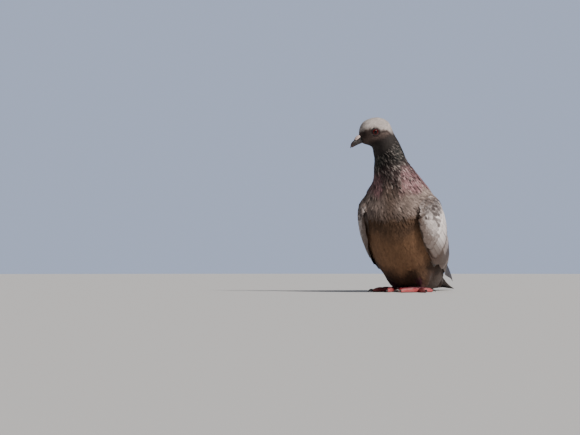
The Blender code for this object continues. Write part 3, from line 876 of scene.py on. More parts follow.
def mesh_of_copies(name, points, faces):
    """A mesh of many like pieces. points is pieces x corners x 3, faces those of one piece."""
    pieces, corners = points.shape[:2]
    number = np.arange(pieces)[:, None]
    sizes = [len(face) for face in faces]
    loops = np.concatenate(faces)[None] + number * corners
    starts = np.concatenate([[0], np.cumsum(sizes)[:-1]])[None] + number * loops.shape[1]
    mesh = bpy.data.meshes.new(name)
    mesh.vertices.add(pieces * corners)
    mesh.vertices.foreach_set("co", points.astype(np.float32).ravel())
    mesh.loops.add(loops.size)
    mesh.loops.foreach_set("vertex_index", loops.astype(np.int32).ravel())
    mesh.polygons.add(starts.size)
    mesh.polygons.foreach_set("loop_start", starts.astype(np.int32).ravel())
    mesh.update(calc_edges=True)
    mesh.shade_smooth()
    mesh.set_sharp_from_angle(angle=math.radians(70))
    return mesh, loops.ravel()


def settle(tree, points):
    """The nearest places on a surface, with its normals there."""
    found = [tree.find_nearest(point) for point in points.tolist()]
    return np.array([tuple(hit[0]) for hit in found]), np.array([tuple(hit[1]) for hit in found])


def settle_grid(tree, grid):
    return settle(tree, grid.reshape(-1, 3))[0].reshape(grid.shape)


def lie(points, normals):
    """The way that feathers lie: down the body's line, swept back over the neck and breast as
    the head turns away, and parting round the eyes."""
    down, way = along_body(points)
    sweep = NECK_SWEEP * step(*SWEEP_BEGINS, down) * (1 - step(*SWEEP_ENDS, down))
    sweep *= (0.6 + 0.8 * normals[:, 0]).clip(-0.2, 1.2)
    way = way + np.cross(normals, way) * sweep[:, None]
    for eye in EYES.values():
        aside = points - eye
        aside -= (aside * normals).sum(axis=1, keepdims=True) * normals
        far = np.linalg.norm(points - eye, axis=1, keepdims=True)
        near = np.exp(-((far - EYE_RADIUS).clip(0) / EYE_PARTING) ** 2)
        way = way + 1.3 * near * unit(aside)
    return unit(way - (way * normals).sum(axis=1, keepdims=True) * normals)


def laid(tree, roots, length, half_width, rows, turn):
    """Runs each feather's shaft down the surface: its points, normals and two edges."""
    place, normal = settle(tree, roots)
    shaft, normals, ways = [place], [normal], []
    for _ in range(rows):
        way = lie(place, normal)
        way = unit(way + np.cross(normal, way) * turn[:, None])
        place, normal = settle(tree, place + way * (length / rows)[:, None])
        ways.append(way)
        shaft.append(place)
        normals.append(normal)
    ways.append(ways[-1])
    shaft, normals, ways = (np.stack(grid, axis=1) for grid in (shaft, normals, ways))
    normals[:, 1:-1] = unit(normals[:, :-2] + normals[:, 1:-1] + normals[:, 2:])
    across = unit(np.cross(normals, ways)) * half_width[:, None, None]
    return shaft, normals, settle_grid(tree, shaft - across), settle_grid(tree, shaft + across)


def at_shares(grid, shares):
    """Reads each feather's row of values at shares of its length."""
    rows = grid.shape[1] - 1
    place = np.clip(shares, 0, 1) * rows
    i = np.minimum(place.astype(int), rows - 1)
    f = place - i
    if grid.ndim > 2:
        f = f[..., None]
    feather = np.arange(len(grid))[:, None, None]
    return grid[feather, i] * (1 - f) + grid[feather, i + 1] * f


def rounded(share, root, widening, shoulder, tip, power):
    """A vane's width at shares of its length: it widens from the root, then rounds off from the
    shoulder to the tip."""
    past = ((share - shoulder) / (1 - shoulder)).clip(0, 1)
    return (root + widening * share).clip(0, 1) * np.sqrt(1 - tip * past ** power)


def contour_width(share):
    return rounded(share, 0.3, 1.9, 0.62, 0.72, 2.2)


def reach_of(draw, count, columns, rounding, power, fray):
    """How far down its length each column of a vane goes: less towards the edges, and frayed."""
    aside = np.abs(np.linspace(-1, 1, columns + 1)[None])
    return 1 - rounding * aside ** power - fray * draw.uniform(0, 1, (count, columns + 1))


def feathers(name, run, height, reach, width, thick, camber, colours, trim, patches, seed, tilt=0.0):
    """A mesh of feathers. run is from laid(); height (mm) is along the shaft, reach is how far
    down its length each column of the vane goes, and patches are places on the flat map."""
    shaft, normals, left, right = run
    count, rows, columns = len(shaft), shaft.shape[1] - 1, reach.shape[1] - 1
    t = np.linspace(-1, 1, columns + 1)
    share = np.linspace(0, 1, rows + 1)[None, :, None] * reach[:, None, :]
    wide = t[None, None, :] * width(share)
    middle, normal, low, high = (at_shares(grid, share) for grid in (shaft, normals, left, right))
    bend = wide[..., None]
    place = middle + bend * (high - low) / 2 + bend ** 2 * ((high + low) / 2 - middle)
    rise = at_shares(height, share) - tilt * wide
    rise = rise + np.reshape(camber, (-1, 1, 1)) * (1 - t ** 2) * width(share)
    top = place + normal * rise[..., None] * MM

    def with_under(values, drop=0.0):
        """Adds the under side's corners, which lie below the shaft, to those of the top."""
        under = values[:, 1:-1, columns // 2] - drop
        return np.concatenate([values.reshape(count, -1, 3), under], axis=1)

    corners = with_under(top, normal[:, 1:-1, columns // 2] * thick * MM)
    mesh, loops = mesh_of_copies(name, corners, vane_faces(rows, columns))
    draw = np.random.RandomState(seed).uniform(size=(count, 1, 1))
    facts = with_under(np.stack(np.broadcast_arrays(t, share, draw), axis=-1))
    keep_facts(mesh, "vane", facts)
    for kind, values in (("tint", colours), ("trim", trim)):
        if values.ndim == 2:
            values = np.broadcast_to(values[:, None, None], (*share.shape, 3))
        paint(mesh, kind, with_under(values).reshape(-1, 3))
    corner, size = patches
    uv = corner[:, None] + np.stack([(facts[..., 0] + 1) / 2, facts[..., 1]], axis=-1) * size
    layer = mesh.uv_layers.new(name="OFBake")
    layer.data.foreach_set("uv", uv.reshape(-1, 2)[loops].astype(np.float32).ravel())
    return shown(name, mesh)


def shares_of(off, one, other):
    """How many times one and how many times other lead to the place that off leads to."""
    aa, ab, bb = ((p * q).sum(axis=-1) for p, q in ((one, one), (one, other), (other, other)))
    pa, pb = (off * one).sum(axis=-1), (off * other).sum(axis=-1)
    area = np.maximum(aa * bb - ab * ab, 1e-18)
    return (bb * pa - ab * pb) / area, (aa * pb - ab * pa) / area


def hide_places(roots):
    """Where roots are on the hide's flat map."""
    mesh = skin.data
    uv = read(mesh.uv_layers["OFBake"].data, "uv", 2)
    corners = read(mesh.loops, "vertex_index", 1, np.int32)
    found = [SKIN_TREE.find_nearest(root)[2] for root in roots.tolist()]
    first = read(mesh.polygons, "loop_start", 1, np.int32)[found]
    points = points_of(mesh)
    a, b, c = (points[corners[first + k]] for k in range(3))
    ua, ub, uc = (uv[first + k] for k in range(3))
    f, g = (share.clip(0, 1)[:, None] for share in shares_of(roots - a, b - a, c - a))
    return (ua + f * (ub - ua) + g * (uc - ua)).clip(0.002, 0.995) - PATCH / 2


def scattered(mesh, spacing_of, seed, tries=7):
    """Places spread evenly at random over a mesh, at least as far apart as spacing_of says."""
    mesh.calc_loop_triangles()
    corners = read(mesh.loop_triangles, "vertices", 3, np.int32)
    a, b, c = points_of(mesh)[corners].transpose(1, 0, 2)
    area = np.linalg.norm(np.cross(b - a, c - a), axis=1) / 2
    want = area / spacing_of((a + b + c) / 3) ** 2
    draw = np.random.RandomState(seed)
    pick = draw.choice(len(want), int(tries * want.sum()), p=want / want.sum())
    f, g = draw.uniform(size=(2, len(pick), 1))
    f = np.sqrt(f)
    points = a[pick] * (1 - f) + b[pick] * f * (1 - g) + c[pick] * f * g
    space = spacing_of(points)
    cell = 2.0 * MM
    taken, accepted = {}, []
    homes = np.floor(points / cell).astype(int).tolist()
    for number, (point, home) in enumerate(zip(points.tolist(), homes)):
        room = space[number]
        span = range(-math.ceil(room / cell), math.ceil(room / cell) + 1)
        if all(
            (point[0] - q[0]) ** 2 + (point[1] - q[1]) ** 2 + (point[2] - q[2]) ** 2 > room * room
            for i in span for j in span for k in span
            for q in taken.get((home[0] + i, home[1] + j, home[2] + k), ())
        ):
            taken.setdefault(tuple(home), []).append(point)
            accepted.append(number)
    return points[accepted]


def smooth_range(tree, value, low, high):
    """A soft step from 0 at low to 1 at high."""
    settings = {"interpolation_type": "SMOOTHSTEP"}
    return node(tree, "ShaderNodeMapRange", settings, i0=value, i1=low, i2=high).outputs[0]


def feather_finish(name, streak, rim, roughness, sheen, metallic=0.0, edge_from=0.78, tip_from=0.88):
    """Plumage: barbs that slant from a fine shaft, a paler or darker rim, and soft variation."""
    material, tree = new_finish(name)
    vane = kept(tree, "vane").outputs["Vector"]
    across, share, lot = node(tree, "ShaderNodeSeparateXYZ", i0=vane).outputs
    aside = maths(tree, "ABSOLUTE", across)
    slant = maths(tree, "SUBTRACT", share, maths(tree, "MULTIPLY", aside, 0.32))

    def texture(down, wide, apart, scale):
        """Noise in each feather's own coordinates, of which no two feathers show the same."""
        apart = maths(tree, "MULTIPLY", lot, apart)
        spot = node(tree, "ShaderNodeCombineXYZ", i0=down, i1=wide, i2=apart).outputs[0]
        return node(tree, "ShaderNodeTexNoise", Vector=spot, Scale=scale, Detail=3.0).outputs["Fac"]

    barbs = texture(maths(tree, "MULTIPLY", slant, 42.0), maths(tree, "MULTIPLY", across, 1.6), 90.0, 1.0)
    blotch = texture(maths(tree, "MULTIPLY", share, 2.2), across, 70.0, 1.3)
    edge = smooth_range(tree, maths(tree, "MULTIPLY_ADD", blotch, 0.2, aside), edge_from, 1.06)
    tip = smooth_range(tree, maths(tree, "MULTIPLY_ADD", blotch, 0.14, share), tip_from, 1.03)
    rimmed = maths(tree, "MULTIPLY", maths(tree, "MAXIMUM", edge, tip), rim)
    tint, trim = (kept(tree, kind).outputs["Color"] for kind in ("tint", "trim"))
    shaft = maths(tree, "SUBTRACT", 1.0, maths(tree, "MULTIPLY", aside, 14.0), clamp=True)
    shade = maths(tree, "MULTIPLY_ADD", barbs, 2 * streak, 1 - streak)
    shade = maths(tree, "MULTIPLY", shade, maths(tree, "MULTIPLY_ADD", blotch, 0.6, 0.7))
    shade = maths(tree, "MULTIPLY", shade, maths(tree, "MULTIPLY_ADD", shaft, -0.22, 1.0))
    return finished(
        material, mix_colour(tree, "MIX", rimmed, tint, trim), shade,
        maths(tree, "ADD", barbs, shaft), strength=0.5, distance=0.12 * MM,
        Roughness=maths(tree, "MULTIPLY_ADD", barbs, 0.2, roughness - 0.1), Sheen_Weight=sheen,
        Sheen_Roughness=0.5, Metallic=metallic, Specular_IOR_Level=0.14,
    )


WING_NODES = {
    side: [f"wing_{side}_{part}" for part in ("coverts", "secondaries", "primaries")] for side in SIDES
}
WING_TREES = {side: solid_tree(WING_NODES[side]) for side in SIDES}


def under_wing(points, normals, way):
    """True where a folded wing lies over the place and well to both sides of it."""
    across = np.cross(normals, way) * UNDER_WING
    covered = np.ones(len(points), bool)
    for shift in (0 * across, across, -across):
        starts = (points + shift + normals * 0.2 * MM).tolist()
        for number, (start, out) in enumerate(zip(starts, normals.tolist())):
            if covered[number]:
                hits = (tree.ray_cast(start, out, WING_OVER)[0] for tree in WING_TREES.values())
                covered[number] = any(hits)
    return covered


def body_spacing(points):
    return np.interp(along_body(points)[0], COAT_PLACES, FEATHER_SPACING) * MM


roots = scattered(BODY_FORM, body_spacing, 11)
_, root_normals = settle(BODY_TREE, roots)
down, root_way = along_body(roots)
aside, ahead, _ = on_head(roots).T
bare = (ahead > BILL_AHEAD) & (np.abs(aside) < BILL_HALF) & (down < BILL_DOWN)
bare |= roots[:, 1] > trunk_high[1] + TRUNK_OVERHANG
bare |= under_wing(roots, root_normals, root_way) & (down < UNDER_WING_END)
for side in SIDES:
    gaze = eye_axes(side)[0]
    off = roots - EYES[side]
    aside = np.linalg.norm(off - (off @ gaze)[:, None] * gaze, axis=1)
    bare |= (aside < EYE_BARE * MM) & (off @ gaze > 0)
    bare |= (from_shank(roots, side) < SHANK_BARE) & (roots[:, 2] < SHANK_HIGH)
roots, root_normals, down, root_way = (grid[~bare] for grid in (roots, root_normals, down, root_way))

# Feathers that grow just before a wing's bend, and on the back, lie over the folded wing.
wing_near = np.full(len(roots), np.inf)
wing_before = np.zeros(len(roots), bool)
for tree in WING_TREES.values():
    hit, _ = settle(tree, roots)
    far = np.linalg.norm(hit - roots, axis=1)
    closer = far < wing_near
    before = ((hit - roots) * root_way).sum(axis=1) > BEND_BEFORE * far
    wing_near = np.where(closer, far, wing_near)
    wing_before = np.where(closer, before, wing_before)
on_back = root_normals @ unit(np.array(FACES_BACK)) > BACK_FACING
over_wing = ((wing_before & (wing_near < BEND_NEAR)) | on_back) & (down > COVER_FROM)


def coat(name, slot, finish, seed, chosen, rows, columns, fray, mottle, glint=0.0, point=0.2,
         broad=1.0, stir=0.05):
    """Dresses the chosen roots with feathers of the size of their place, as one piece."""
    count = int(chosen.sum())
    draw = np.random.RandomState(seed)
    place = down[chosen]
    length = np.interp(place, COAT_PLACES, FEATHER_LENGTH) * draw.uniform(*LENGTH_VARIES, count)
    half = np.interp(place, COAT_PLACES, FEATHER_HALF_WIDTH) * draw.uniform(*WIDTH_VARIES, count) * broad
    depth = np.interp(place, COAT_PLACES, COAT_DEPTH)
    turn = draw.normal(0, TURN_VARIES, count)
    run = [np.empty((count, rows + 1, 3)) for _ in range(4)]
    over = over_wing[chosen]
    for group, tree in ((over, COVER_TREE), (~over, BODY_TREE)):
        if group.any():
            starts, sizes = roots[chosen][group], (length[group] * MM, half[group] * MM)
            for whole, part in zip(run, laid(tree, starts, *sizes, rows, turn[group])):
                whole[group] = part
    tips = run[0][:, -1] - (MIDDLE_X, 0, 0)
    slipped = over & on_back[chosen] & (tips[:, 2] < SCAPULARS_END) & (np.abs(tips[:, 0]) > RUMP_HALF)
    share = np.linspace(0, 1, rows + 1)[None]
    bib = BIB_STAND + TUFT_STAND * blot(np.abs(tips[:, 0]) / MM, *TUFT_FLANK)
    stand = WING_LAP * over + bib * blot(place + length, BIB_EDGE, 7) * (1 - over)
    lift = draw.uniform(-stir, stir, count) + stand
    height = lift[:, None] * share - LAP * length[:, None] * (1 - share)
    height = height - 0.9 * depth[:, None] * (1 - share) ** 2.8
    height = np.where(slipped[:, None], SUNK, height)
    reach = reach_of(draw, count, columns, point, 1.8, fray)
    base = markings_and_painted_light(run[0][:, -1]) * draw.lognormal(0, mottle, (count, 1))
    trim = base * draw.uniform(1.1, 1.45, (count, 1))
    # Painted glints of light on the rims of some feathers.
    trim = trim + (HACKLE_GLINT - trim) * glint * draw.uniform(0, 1, (count, 1)) ** 2.6
    patches = hide_places(roots[chosen]), PATCH
    piece = feathers(name, run, height, reach, contour_width, CONTOUR_THICK, CUP * half, base, trim,
                     patches, seed)
    keep(piece, slot, finish)


soft = feather_finish("contour_feathers", streak=0.16, rim=0.35, roughness=0.75, sheen=0.05)
hackle = feather_finish("neck_hackles", streak=0.3, rim=0.9, roughness=0.55, sheen=0.0, metallic=0.1,
                        edge_from=0.62, tip_from=0.6)


def between(begin, end):
    """Which roots grow between two places down the body."""
    return (down >= begin) & (down < end)


# After each seed: where the feathers grow, a vane's rows and columns, its fray, and how much
# the feathers differ in shade.
coat("feathers_head", "feathers_grey", soft, 21, down < HEAD_END, 3, 2, 0.08, 0.09)
coat("feathers_neck_upper", "feathers_dark", hackle, 22, between(HEAD_END, NECK_MIDDLE), 4, 4, 0.12, 0.25,
     glint=0.6, point=0.35)
coat("feathers_neck_lower", "feathers_dark", hackle, 23, between(NECK_MIDDLE, NECK_END), 4, 4, 0.12, 0.22,
     glint=0.45, point=0.35)
coat("feathers_breast", "feathers_brown", soft, 24, between(NECK_END, BREAST_END) & ~on_back, 5, 4, 0.14,
     0.16, glint=0.15, point=0.3)
coat("feathers_belly", "feathers_brown", soft, 25, between(BREAST_END, BELLY_END) & ~on_back, 5, 4, 0.2,
     0.06, stir=0.02)
coat("feathers_vent", "feathers_brown", soft, 27, (down >= BELLY_END) & ~on_back, 5, 4, 0.2, 0.06, stir=0.02)
coat("feathers_back", "feathers_grey", soft, 26, (down >= NECK_END) & on_back, 5, 4, 0.08, 0.06,
     broad=1.45, stir=0.012)


# ---- Folded wings --------------------------------------------------------------------
# A folded wing lies along the side, from its bend on the breast to its tip over the tail. Small,
# middle and great coverts overlap from the bend back. The secondaries and tertials are tucked
# under them, and under those the ten primaries, stiff quills whose edges show as a stack.

OUTWARD = {"left": 1, "right": -1}
# Lower and upper edge of the folded wing, as shares of its box from front to back and up.
WING_LOWER = (
    (0.0, 0.745), (0.035, 0.588), (0.094, 0.412), (0.198, 0.245), (0.332, 0.108),
    (0.485, 0.02), (0.653, 0.0), (0.822, 0.02), (0.985, 0.02),
)
WING_UPPER = (
    (0.01, 0.88), (0.07, 0.975), (0.213, 0.985), (0.351, 0.955), (0.505, 0.825),
    (0.634, 0.65), (0.757, 0.43), (0.88, 0.22), (1.0, 0.06),
)
WING_ALONG, WING_ACROSS = 120, 22
EDGE_INSET = 0.03
# How far from the bird's middle line a wing's face is sought from, and where it would be if the
# search found none.
WING_OUTSIDE, WING_INSIDE = 90 * MM, 34 * MM
EDGE_SLIP = 0.6            # an edge that leaves the face by this share of its width stays straight


def smoothed(grid, rounds):
    """Evens a grid of points out, with its four edges kept."""
    for _ in range(rounds):
        grid[1:-1] = (grid[:-2] + 2 * grid[1:-1] + grid[2:]) / 4
        grid[:, 1:-1] = (grid[:, :-2] + 2 * grid[:, 1:-1] + grid[:, 2:]) / 4
    return grid


def wing_grid(side):
    """The wing's outer face as an even grid of points from bend to tip and low to high edge."""
    boxes = np.array([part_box(name) for name in WING_NODES[side]])
    low, high = boxes[:, 0].min(axis=0), boxes[:, 1].max(axis=0)
    lower, upper = (curve_through(edge, WING_ALONG) for edge in (WING_LOWER, WING_UPPER))
    share = np.linspace(EDGE_INSET, 1 - EDGE_INSET, WING_ACROSS)[None, :, None]
    flat = lower[:, None] * (1 - share) + upper[:, None] * share
    out, tree = OUTWARD[side], WING_TREES[side]
    grid = np.zeros((WING_ALONG, WING_ACROSS, 3))
    for i in range(WING_ALONG):
        for j in range(WING_ACROSS):
            y, z = low[1:] + flat[i, j] * (high - low)[1:]
            hit = tree.ray_cast((out * WING_OUTSIDE, y, z), (-out, 0, 0))[0]
            grid[i, j] = tree.find_nearest((out * WING_INSIDE, y, z))[0] if hit is None else hit
    return smoothed(grid, 5)


def at_face(grid, along, across, beyond=False):
    """Reads a grid of values at shares along and across it, and beyond its edges if asked."""
    rows, columns = grid.shape[:2]
    i, j = along * (rows - 1), across * (columns - 1)
    i0 = np.clip(i.astype(int), 0, rows - 2)
    j0 = np.clip(j.astype(int), 0, columns - 2)
    f, g = (i - i0)[..., None], (j - j0)[..., None]
    if not beyond:
        f, g = f.clip(0, 1), g.clip(0, 1)
    return (
        grid[i0, j0] * (1 - f) * (1 - g) + grid[i0 + 1, j0] * f * (1 - g)
        + grid[i0, j0 + 1] * (1 - f) * g + grid[i0 + 1, j0 + 1] * f * g
    )


def face_run(grid, out, along, across, half):
    """Shafts that follow a gridded face, with their normals and edges, as laid() gives them."""
    rows, columns = grid.shape[:2]
    down, over = np.gradient(grid, axis=0), np.gradient(grid, axis=1)
    normals = unit(at_face(unit(np.cross(down, over)) * out, along, across))
    shaft = at_face(grid, along, across, True)
    aside = unit(np.cross(normals, unit(np.gradient(shaft, axis=1)))) * half
    down = at_face(down * (rows - 1), along, across)
    over = at_face(over * (columns - 1), along, across)
    i, j = shares_of(aside, down, over)
    edges = []
    for way in (-1, 1):
        bent = at_face(grid, along + way * i, across + way * j, True)
        straight = shaft + way * aside
        far = np.linalg.norm(bent - straight, axis=-1, keepdims=True)
        edges.append(np.where(far < EDGE_SLIP * half, bent, straight))
    return shaft, normals, *edges


WING_GRIDS = {side: wing_grid(side) for side in SIDES}

WING_WHITE = srgb(224, 215, 211)
WING_PALE = srgb(196, 186, 182)
WING_GREY = srgb(158, 146, 142)
WING_MOTTLE = srgb(66, 57, 55)
SCALLOP_EDGE = srgb(96, 83, 78)
WING_BUFF = srgb(146, 128, 114)
WING_BAR = srgb(62, 51, 49)
WING_BROWN = srgb(80, 62, 52)
QUILL_BLACK = srgb(38, 32, 31)
QUILL_EDGE = srgb(72, 62, 56)
# How far in from its lower edge the wing is brown: shares along and across.
LOW_ALONG, LOW_EDGE = (0.0, 0.2, 0.4, 0.6, 0.72), (0.25, 0.33, 0.5, 0.52, 0.02)
# The wing's front edge takes the breast's colour, brown below and grey above: shares along for
# the bend, across and along for the shoulder, and the heights that it turns grey between.
FRONT_BLEND, SHOULDER_ACROSS, SHOULDER_ALONG = (0.01, 0.075), (0.86, 0.97), (0.14, 0.24)
FRONT_GREY = (84 * MM, 98 * MM)
ROOT_SINK = 0.9            # how much lower than its tip a wing feather's root lies, in mm
WING_CAMBER = 0.35
BAR_BEGINS, BAR_ENDS = (0.6, 0.68), (0.87, 0.93)      # the dark bar, as shares of a secondary


def quill_width(share):
    """A stiff feather: narrow at the root, even for most of its length, with a rounded tip."""
    return rounded(share, 0.35, 1.6, 0.8, 0.8, 2.4)


def covert_width(share):
    return rounded(share, 0.35, 1.7, 0.66, 0.75, 2.3)


def quill_patches(count):
    """Places side by side on the flat map for long quills, and the size of one."""
    return np.stack([0.02 + 0.045 * np.arange(count), np.full(count, 0.02)], axis=1), np.array([0.04, 0.9])


def wing_row(name, side, plan, rows, columns, shape, colour_of, look, seed, level, tilt, rounding,
             fray=0.03, thick=0.16, replaced=()):
    """One kind of wing feather on one wing. plan holds root (along, across), tip (along, across)
    and half width in mm of each feather, from the lowest to the highest, and level their heights."""
    plan = np.array(plan, float)
    count = len(plan)
    draw = np.random.RandomState(seed)
    share = np.linspace(0, 1, rows + 1)[None]
    along = plan[:, :1] + (plan[:, 2:3] - plan[:, :1]) * share
    across = plan[:, 1:2] + (plan[:, 3:4] - plan[:, 1:2]) * share ** 1.25
    run = face_run(WING_GRIDS[side], OUTWARD[side], along, across, plan[:, 4, None, None] * MM)
    height = np.reshape(level, (-1, 1)) - ROOT_SINK * (1 - share) ** 2.2
    height = height + draw.uniform(-0.06, 0.06, (count, 1)) * share
    reach = reach_of(draw, count, columns, rounding, 2.4, fray)
    shares = share[..., None] * reach[:, None, :]
    places = at_shares(run[0], shares)
    tint, trim = colour_of(places, shares, np.linspace(-1, 1, columns + 1), draw)
    far, wide = at_shares(along, shares), at_shares(across, shares)
    shoulder = step(*SHOULDER_ACROSS, wide) * (1 - step(*SHOULDER_ALONG, far))
    front = 0.8 * np.maximum(1 - step(*FRONT_BLEND, far), shoulder)
    grey = step(*FRONT_GREY, places[..., 2])
    # The brown along the lower edge and at the front below is partly the wing's own colour and partly
    # painted shade on its lower side.
    low = 0.82 * (1 - step(0.2, 1, wide / np.interp(far, LOW_ALONG, LOW_EDGE)))
    breast = mixed(WING_BROWN, (BREAST_SIDE, grey))
    tint = mixed(tint, (breast, front * (1 - 0.6 * grey)), (WING_BROWN, low))
    trim = mixed(trim, (WING_BROWN, low))
    patches = quill_patches(count) if rows > 10 else (hide_places(run[0][:, 0]), PATCH * 3)
    piece = feathers(name, run, height, reach, shape, thick, WING_CAMBER, tint, trim, patches, seed,
                     tilt * OUTWARD[side])
    finish, slot = look
    keep(piece, slot, finish, *replaced)


def paler(draw, shares, spread):
    """How pale each feather of a row is beside its neighbours."""
    return draw.lognormal(0, spread, (len(shares), 1, 1, 1))


def speckled(colour, other, part, patch, fade):
    """Pale and dark feathers in loose patches. part of them, between 0 and 1, are dark, and
    all of them above the height that fade ends at, in mm."""
    def colour_of(places, shares, t, draw):
        tips = places[:, -1, places.shape[2] // 2]
        lot = waves(tips, patch * MM, 44) + draw.normal(0, 0.3, len(shares))
        lot = lot + 2.2 * step(*fade, tips[:, 2] / MM)
        dark = step(-0.6, 0.6, lot - np.quantile(lot, 1 - part))[:, None, None]
        shade = paler(draw, shares, 0.08)
        dark = dark * draw.uniform(0.8, 1, dark.shape)
        spot = step(0.15, 0.55, shares) * (1 - 0.7 * step(0.5, 1.0, np.abs(t)))
        rim = mixed(WING_GREY, (SCALLOP_EDGE, 1 - dark))
        return mixed(colour, (other, dark * spot)) * shade, rim * shade
    return colour_of


def scalloped(places, shares, t, draw):
    """Great coverts: pale, greyer towards the tip, with a grey-brown rim."""
    shade = paler(draw, shares, 0.07)
    return mixed(WING_WHITE, (WING_GREY, 0.5 * step(0.5, 0.9, shares))) * shade, WING_MOTTLE * shade


def barred(places, shares, t, draw):
    """Secondaries: buff-grey with a broad dark bar before a paler tip."""
    shade = paler(draw, shares, 0.06)
    bar = step(*BAR_BEGINS, shares) * (1 - step(*BAR_ENDS, shares))
    tint = mixed(WING_BUFF, (WING_GREY, step(0.3, 0.6, shares)), (WING_BAR, bar))
    return tint * shade, mixed(WING_GREY, (WING_BROWN, bar)) * shade


def black_quill(places, shares, t, draw):
    """Primaries: black, browner towards the root, with a paler rim."""
    shade = paler(draw, shares, 0.06)
    return mixed(QUILL_BLACK * shade, (WING_BROWN, 0.6 * (1 - step(0.3, 0.7, shares)))), QUILL_EDGE * shade


def row_plan(count, root, tip, low, high, half, jitter=0.0, seed=0):
    """Evenly spaced feathers: root and tip are (along at the low edge, along at the high)."""
    draw = np.random.RandomState(seed)
    plan = []
    for k in range(count):
        f = k / max(count - 1, 1)
        shift = draw.uniform(-jitter, jitter, 3)
        plan.append((
            root[0] + (root[1] - root[0]) * f + 0.3 * shift[0],
            low[0] + (high[0] - low[0]) * f + shift[1],
            tip[0] + (tip[1] - tip[0]) * f + 0.4 * shift[2],
            low[1] + (high[1] - low[1]) * f + shift[1],
            half,
        ))
    return plan


WING_CHORD = ((0, 0.125, 0.25, 0.375, 0.5), (12, 40, 65, 78, 80))     # shares along, mm across
SMALL_COVERTS = (-0.012, 0.175)


def small_coverts():
    """Many short rows, each set half a feather aside of the one before."""
    (along, end), plan, number = SMALL_COVERTS, [], 0
    while along < end:
        grown = max(along, 0)
        half = 2.6 + 7 * grown
        count = max(int(np.interp(along, *WING_CHORD) / (1.15 * half)), 3)
        aside = 0.5 / count * (number % 2)
        tip, low, high = along + 0.058 + 0.12 * grown, 0.01 + aside, 0.985 - 0.5 / count + aside
        plan += row_plan(count, (along, along), (tip, tip), (low, low), (high, high), half, 0.022,
                         40 + number)
        along += 0.0145 + 0.03 * grown
        number += 1
    return plan


quill = feather_finish("flight_feathers", streak=0.18, rim=0.75, roughness=0.5, sheen=0.05,
                       edge_from=0.82)
long_quill = feather_finish("primary_feathers", streak=0.18, rim=0.7, roughness=0.45, sheen=0.02,
                            edge_from=0.93)
covert = feather_finish("covert_feathers", streak=0.2, rim=0.5, roughness=0.65, sheen=0.04,
                        edge_from=0.66)
great_covert = feather_finish("great_covert_feathers", streak=0.2, rim=0.9, roughness=0.65, sheen=0.04,
                              edge_from=0.64)
flight, longest = (quill, "feathers_flight"), (long_quill, "feathers_flight")
pale, palest = (covert, "feathers_pale"), (great_covert, "feathers_pale")
primaries = [
    (0.34, 0.34 - 0.028 * k, 0.70 + 0.295 * (k / 9) ** 0.85, 0.84 - 0.34 * k / 9, 6.6 - 0.2 * k)
    for k in range(9, -1, -1)
]
secondaries = row_plan(12, (0.26, 0.27), (0.53, 0.66), (0.12, 0.16), (0.86, 0.84), 6.6, 0.006, 2)
tertials = row_plan(4, (0.20, 0.22), (0.62, 0.70), (0.80, 0.84), (0.97, 0.95), 7.2)
primary_coverts = row_plan(8, (0.24, 0.30), (0.42, 0.52), (0.02, 0.03), (0.18, 0.22), 4.6)
great_coverts = row_plan(14, (0.20, 0.22), (0.385, 0.43), (0.06, 0.08), (0.96, 0.95), 6.4, 0.008, 3)
mostly_white = speckled(WING_WHITE, WING_GREY, 0.35, 20, (88, 108))
mostly_dark = speckled(WING_PALE, WING_MOTTLE, 0.6, 16, (76, 98))
# After each seed: the height of the feathers in mm, their tilt, rounding, fray and thickness.
for side in SIDES:
    wing_row(f"primaries_{side}", side, primaries, 26, 8, quill_width, black_quill, longest, 51,
             [-2.3 + 0.13 * k for k in range(10)], 0.25, 0.07, 0.01, 0.14, [f"wing_{side}_primaries"])
    wing_row(f"secondaries_{side}", side, secondaries, 22, 8, quill_width, barred, flight, 52,
             [-1.3 + 0.04 * k for k in range(12)], 0.4, 0.1, 0.02, 0.25, [f"wing_{side}_secondaries"])
    wing_row(f"tertials_{side}", side, tertials, 20, 8, quill_width, barred, flight, 53,
             [-0.7 + 0.1 * k for k in range(4)], 0.35, 0.12, 0.02, 0.25)
    wing_row(f"primary_coverts_{side}", side, primary_coverts, 9, 6, covert_width, black_quill, flight,
             54, -0.8, 0.3, 0.16)
    wing_row(f"great_coverts_{side}", side, great_coverts, 10, 6, covert_width, scalloped, palest,
             55, -0.3, 0.3, 0.2, 0.06, 0.12)
    for row, (root, tip) in enumerate(((0.135, 0.285), (0.1, 0.24))):
        plan = row_plan(14 - row, (root, root + 0.01), (tip, tip + 0.015), (0.03, 0.05), (0.97, 0.97),
                        5.4 - 0.5 * row, 0.012, 4 + row)
        wing_row(f"middle_coverts_{side}_{row + 1}", side, plan, 8, 6, covert_width, mostly_white, pale,
                 56 + row, 0.12 * row, 0.3, 0.22, 0.07, 0.1)
    wing_row(f"small_coverts_{side}", side, small_coverts(), 5, 4, covert_width, mostly_dark, pale,
             58, 0.3, 0.15, 0.24, 0.09, 0.08)


# ---- Tail ----------------------------------------------------------------------------
# Twelve quills closed to a narrow fan: the middle pair lies on top and each outer one lower,
# so that their edges show as steps. The tips rest on what the bird stands on.

TAIL_QUILLS = 12
TAIL_HALF_QUILL = 7.6
TAIL_STEP = 0.3
TAIL_THICK, TAIL_CAMBER = 0.28, 0.3
TAIL_ROWS, TAIL_COLUMNS = 24, 8
TAIL_LOWEST = 0.1 * MM
BAND_BEGINS, BAND_ENDS = (0.72, 0.78), (0.955, 0.99)      # shares of a quill's length
OUTER_QUILLS = 0.6         # from here out, as a share of half the fan, quills have pale edges
TAIL_GREY = srgb(96, 86, 82)
TAIL_BAND = srgb(42, 36, 35)
TAIL_EDGE = srgb(196, 186, 180)


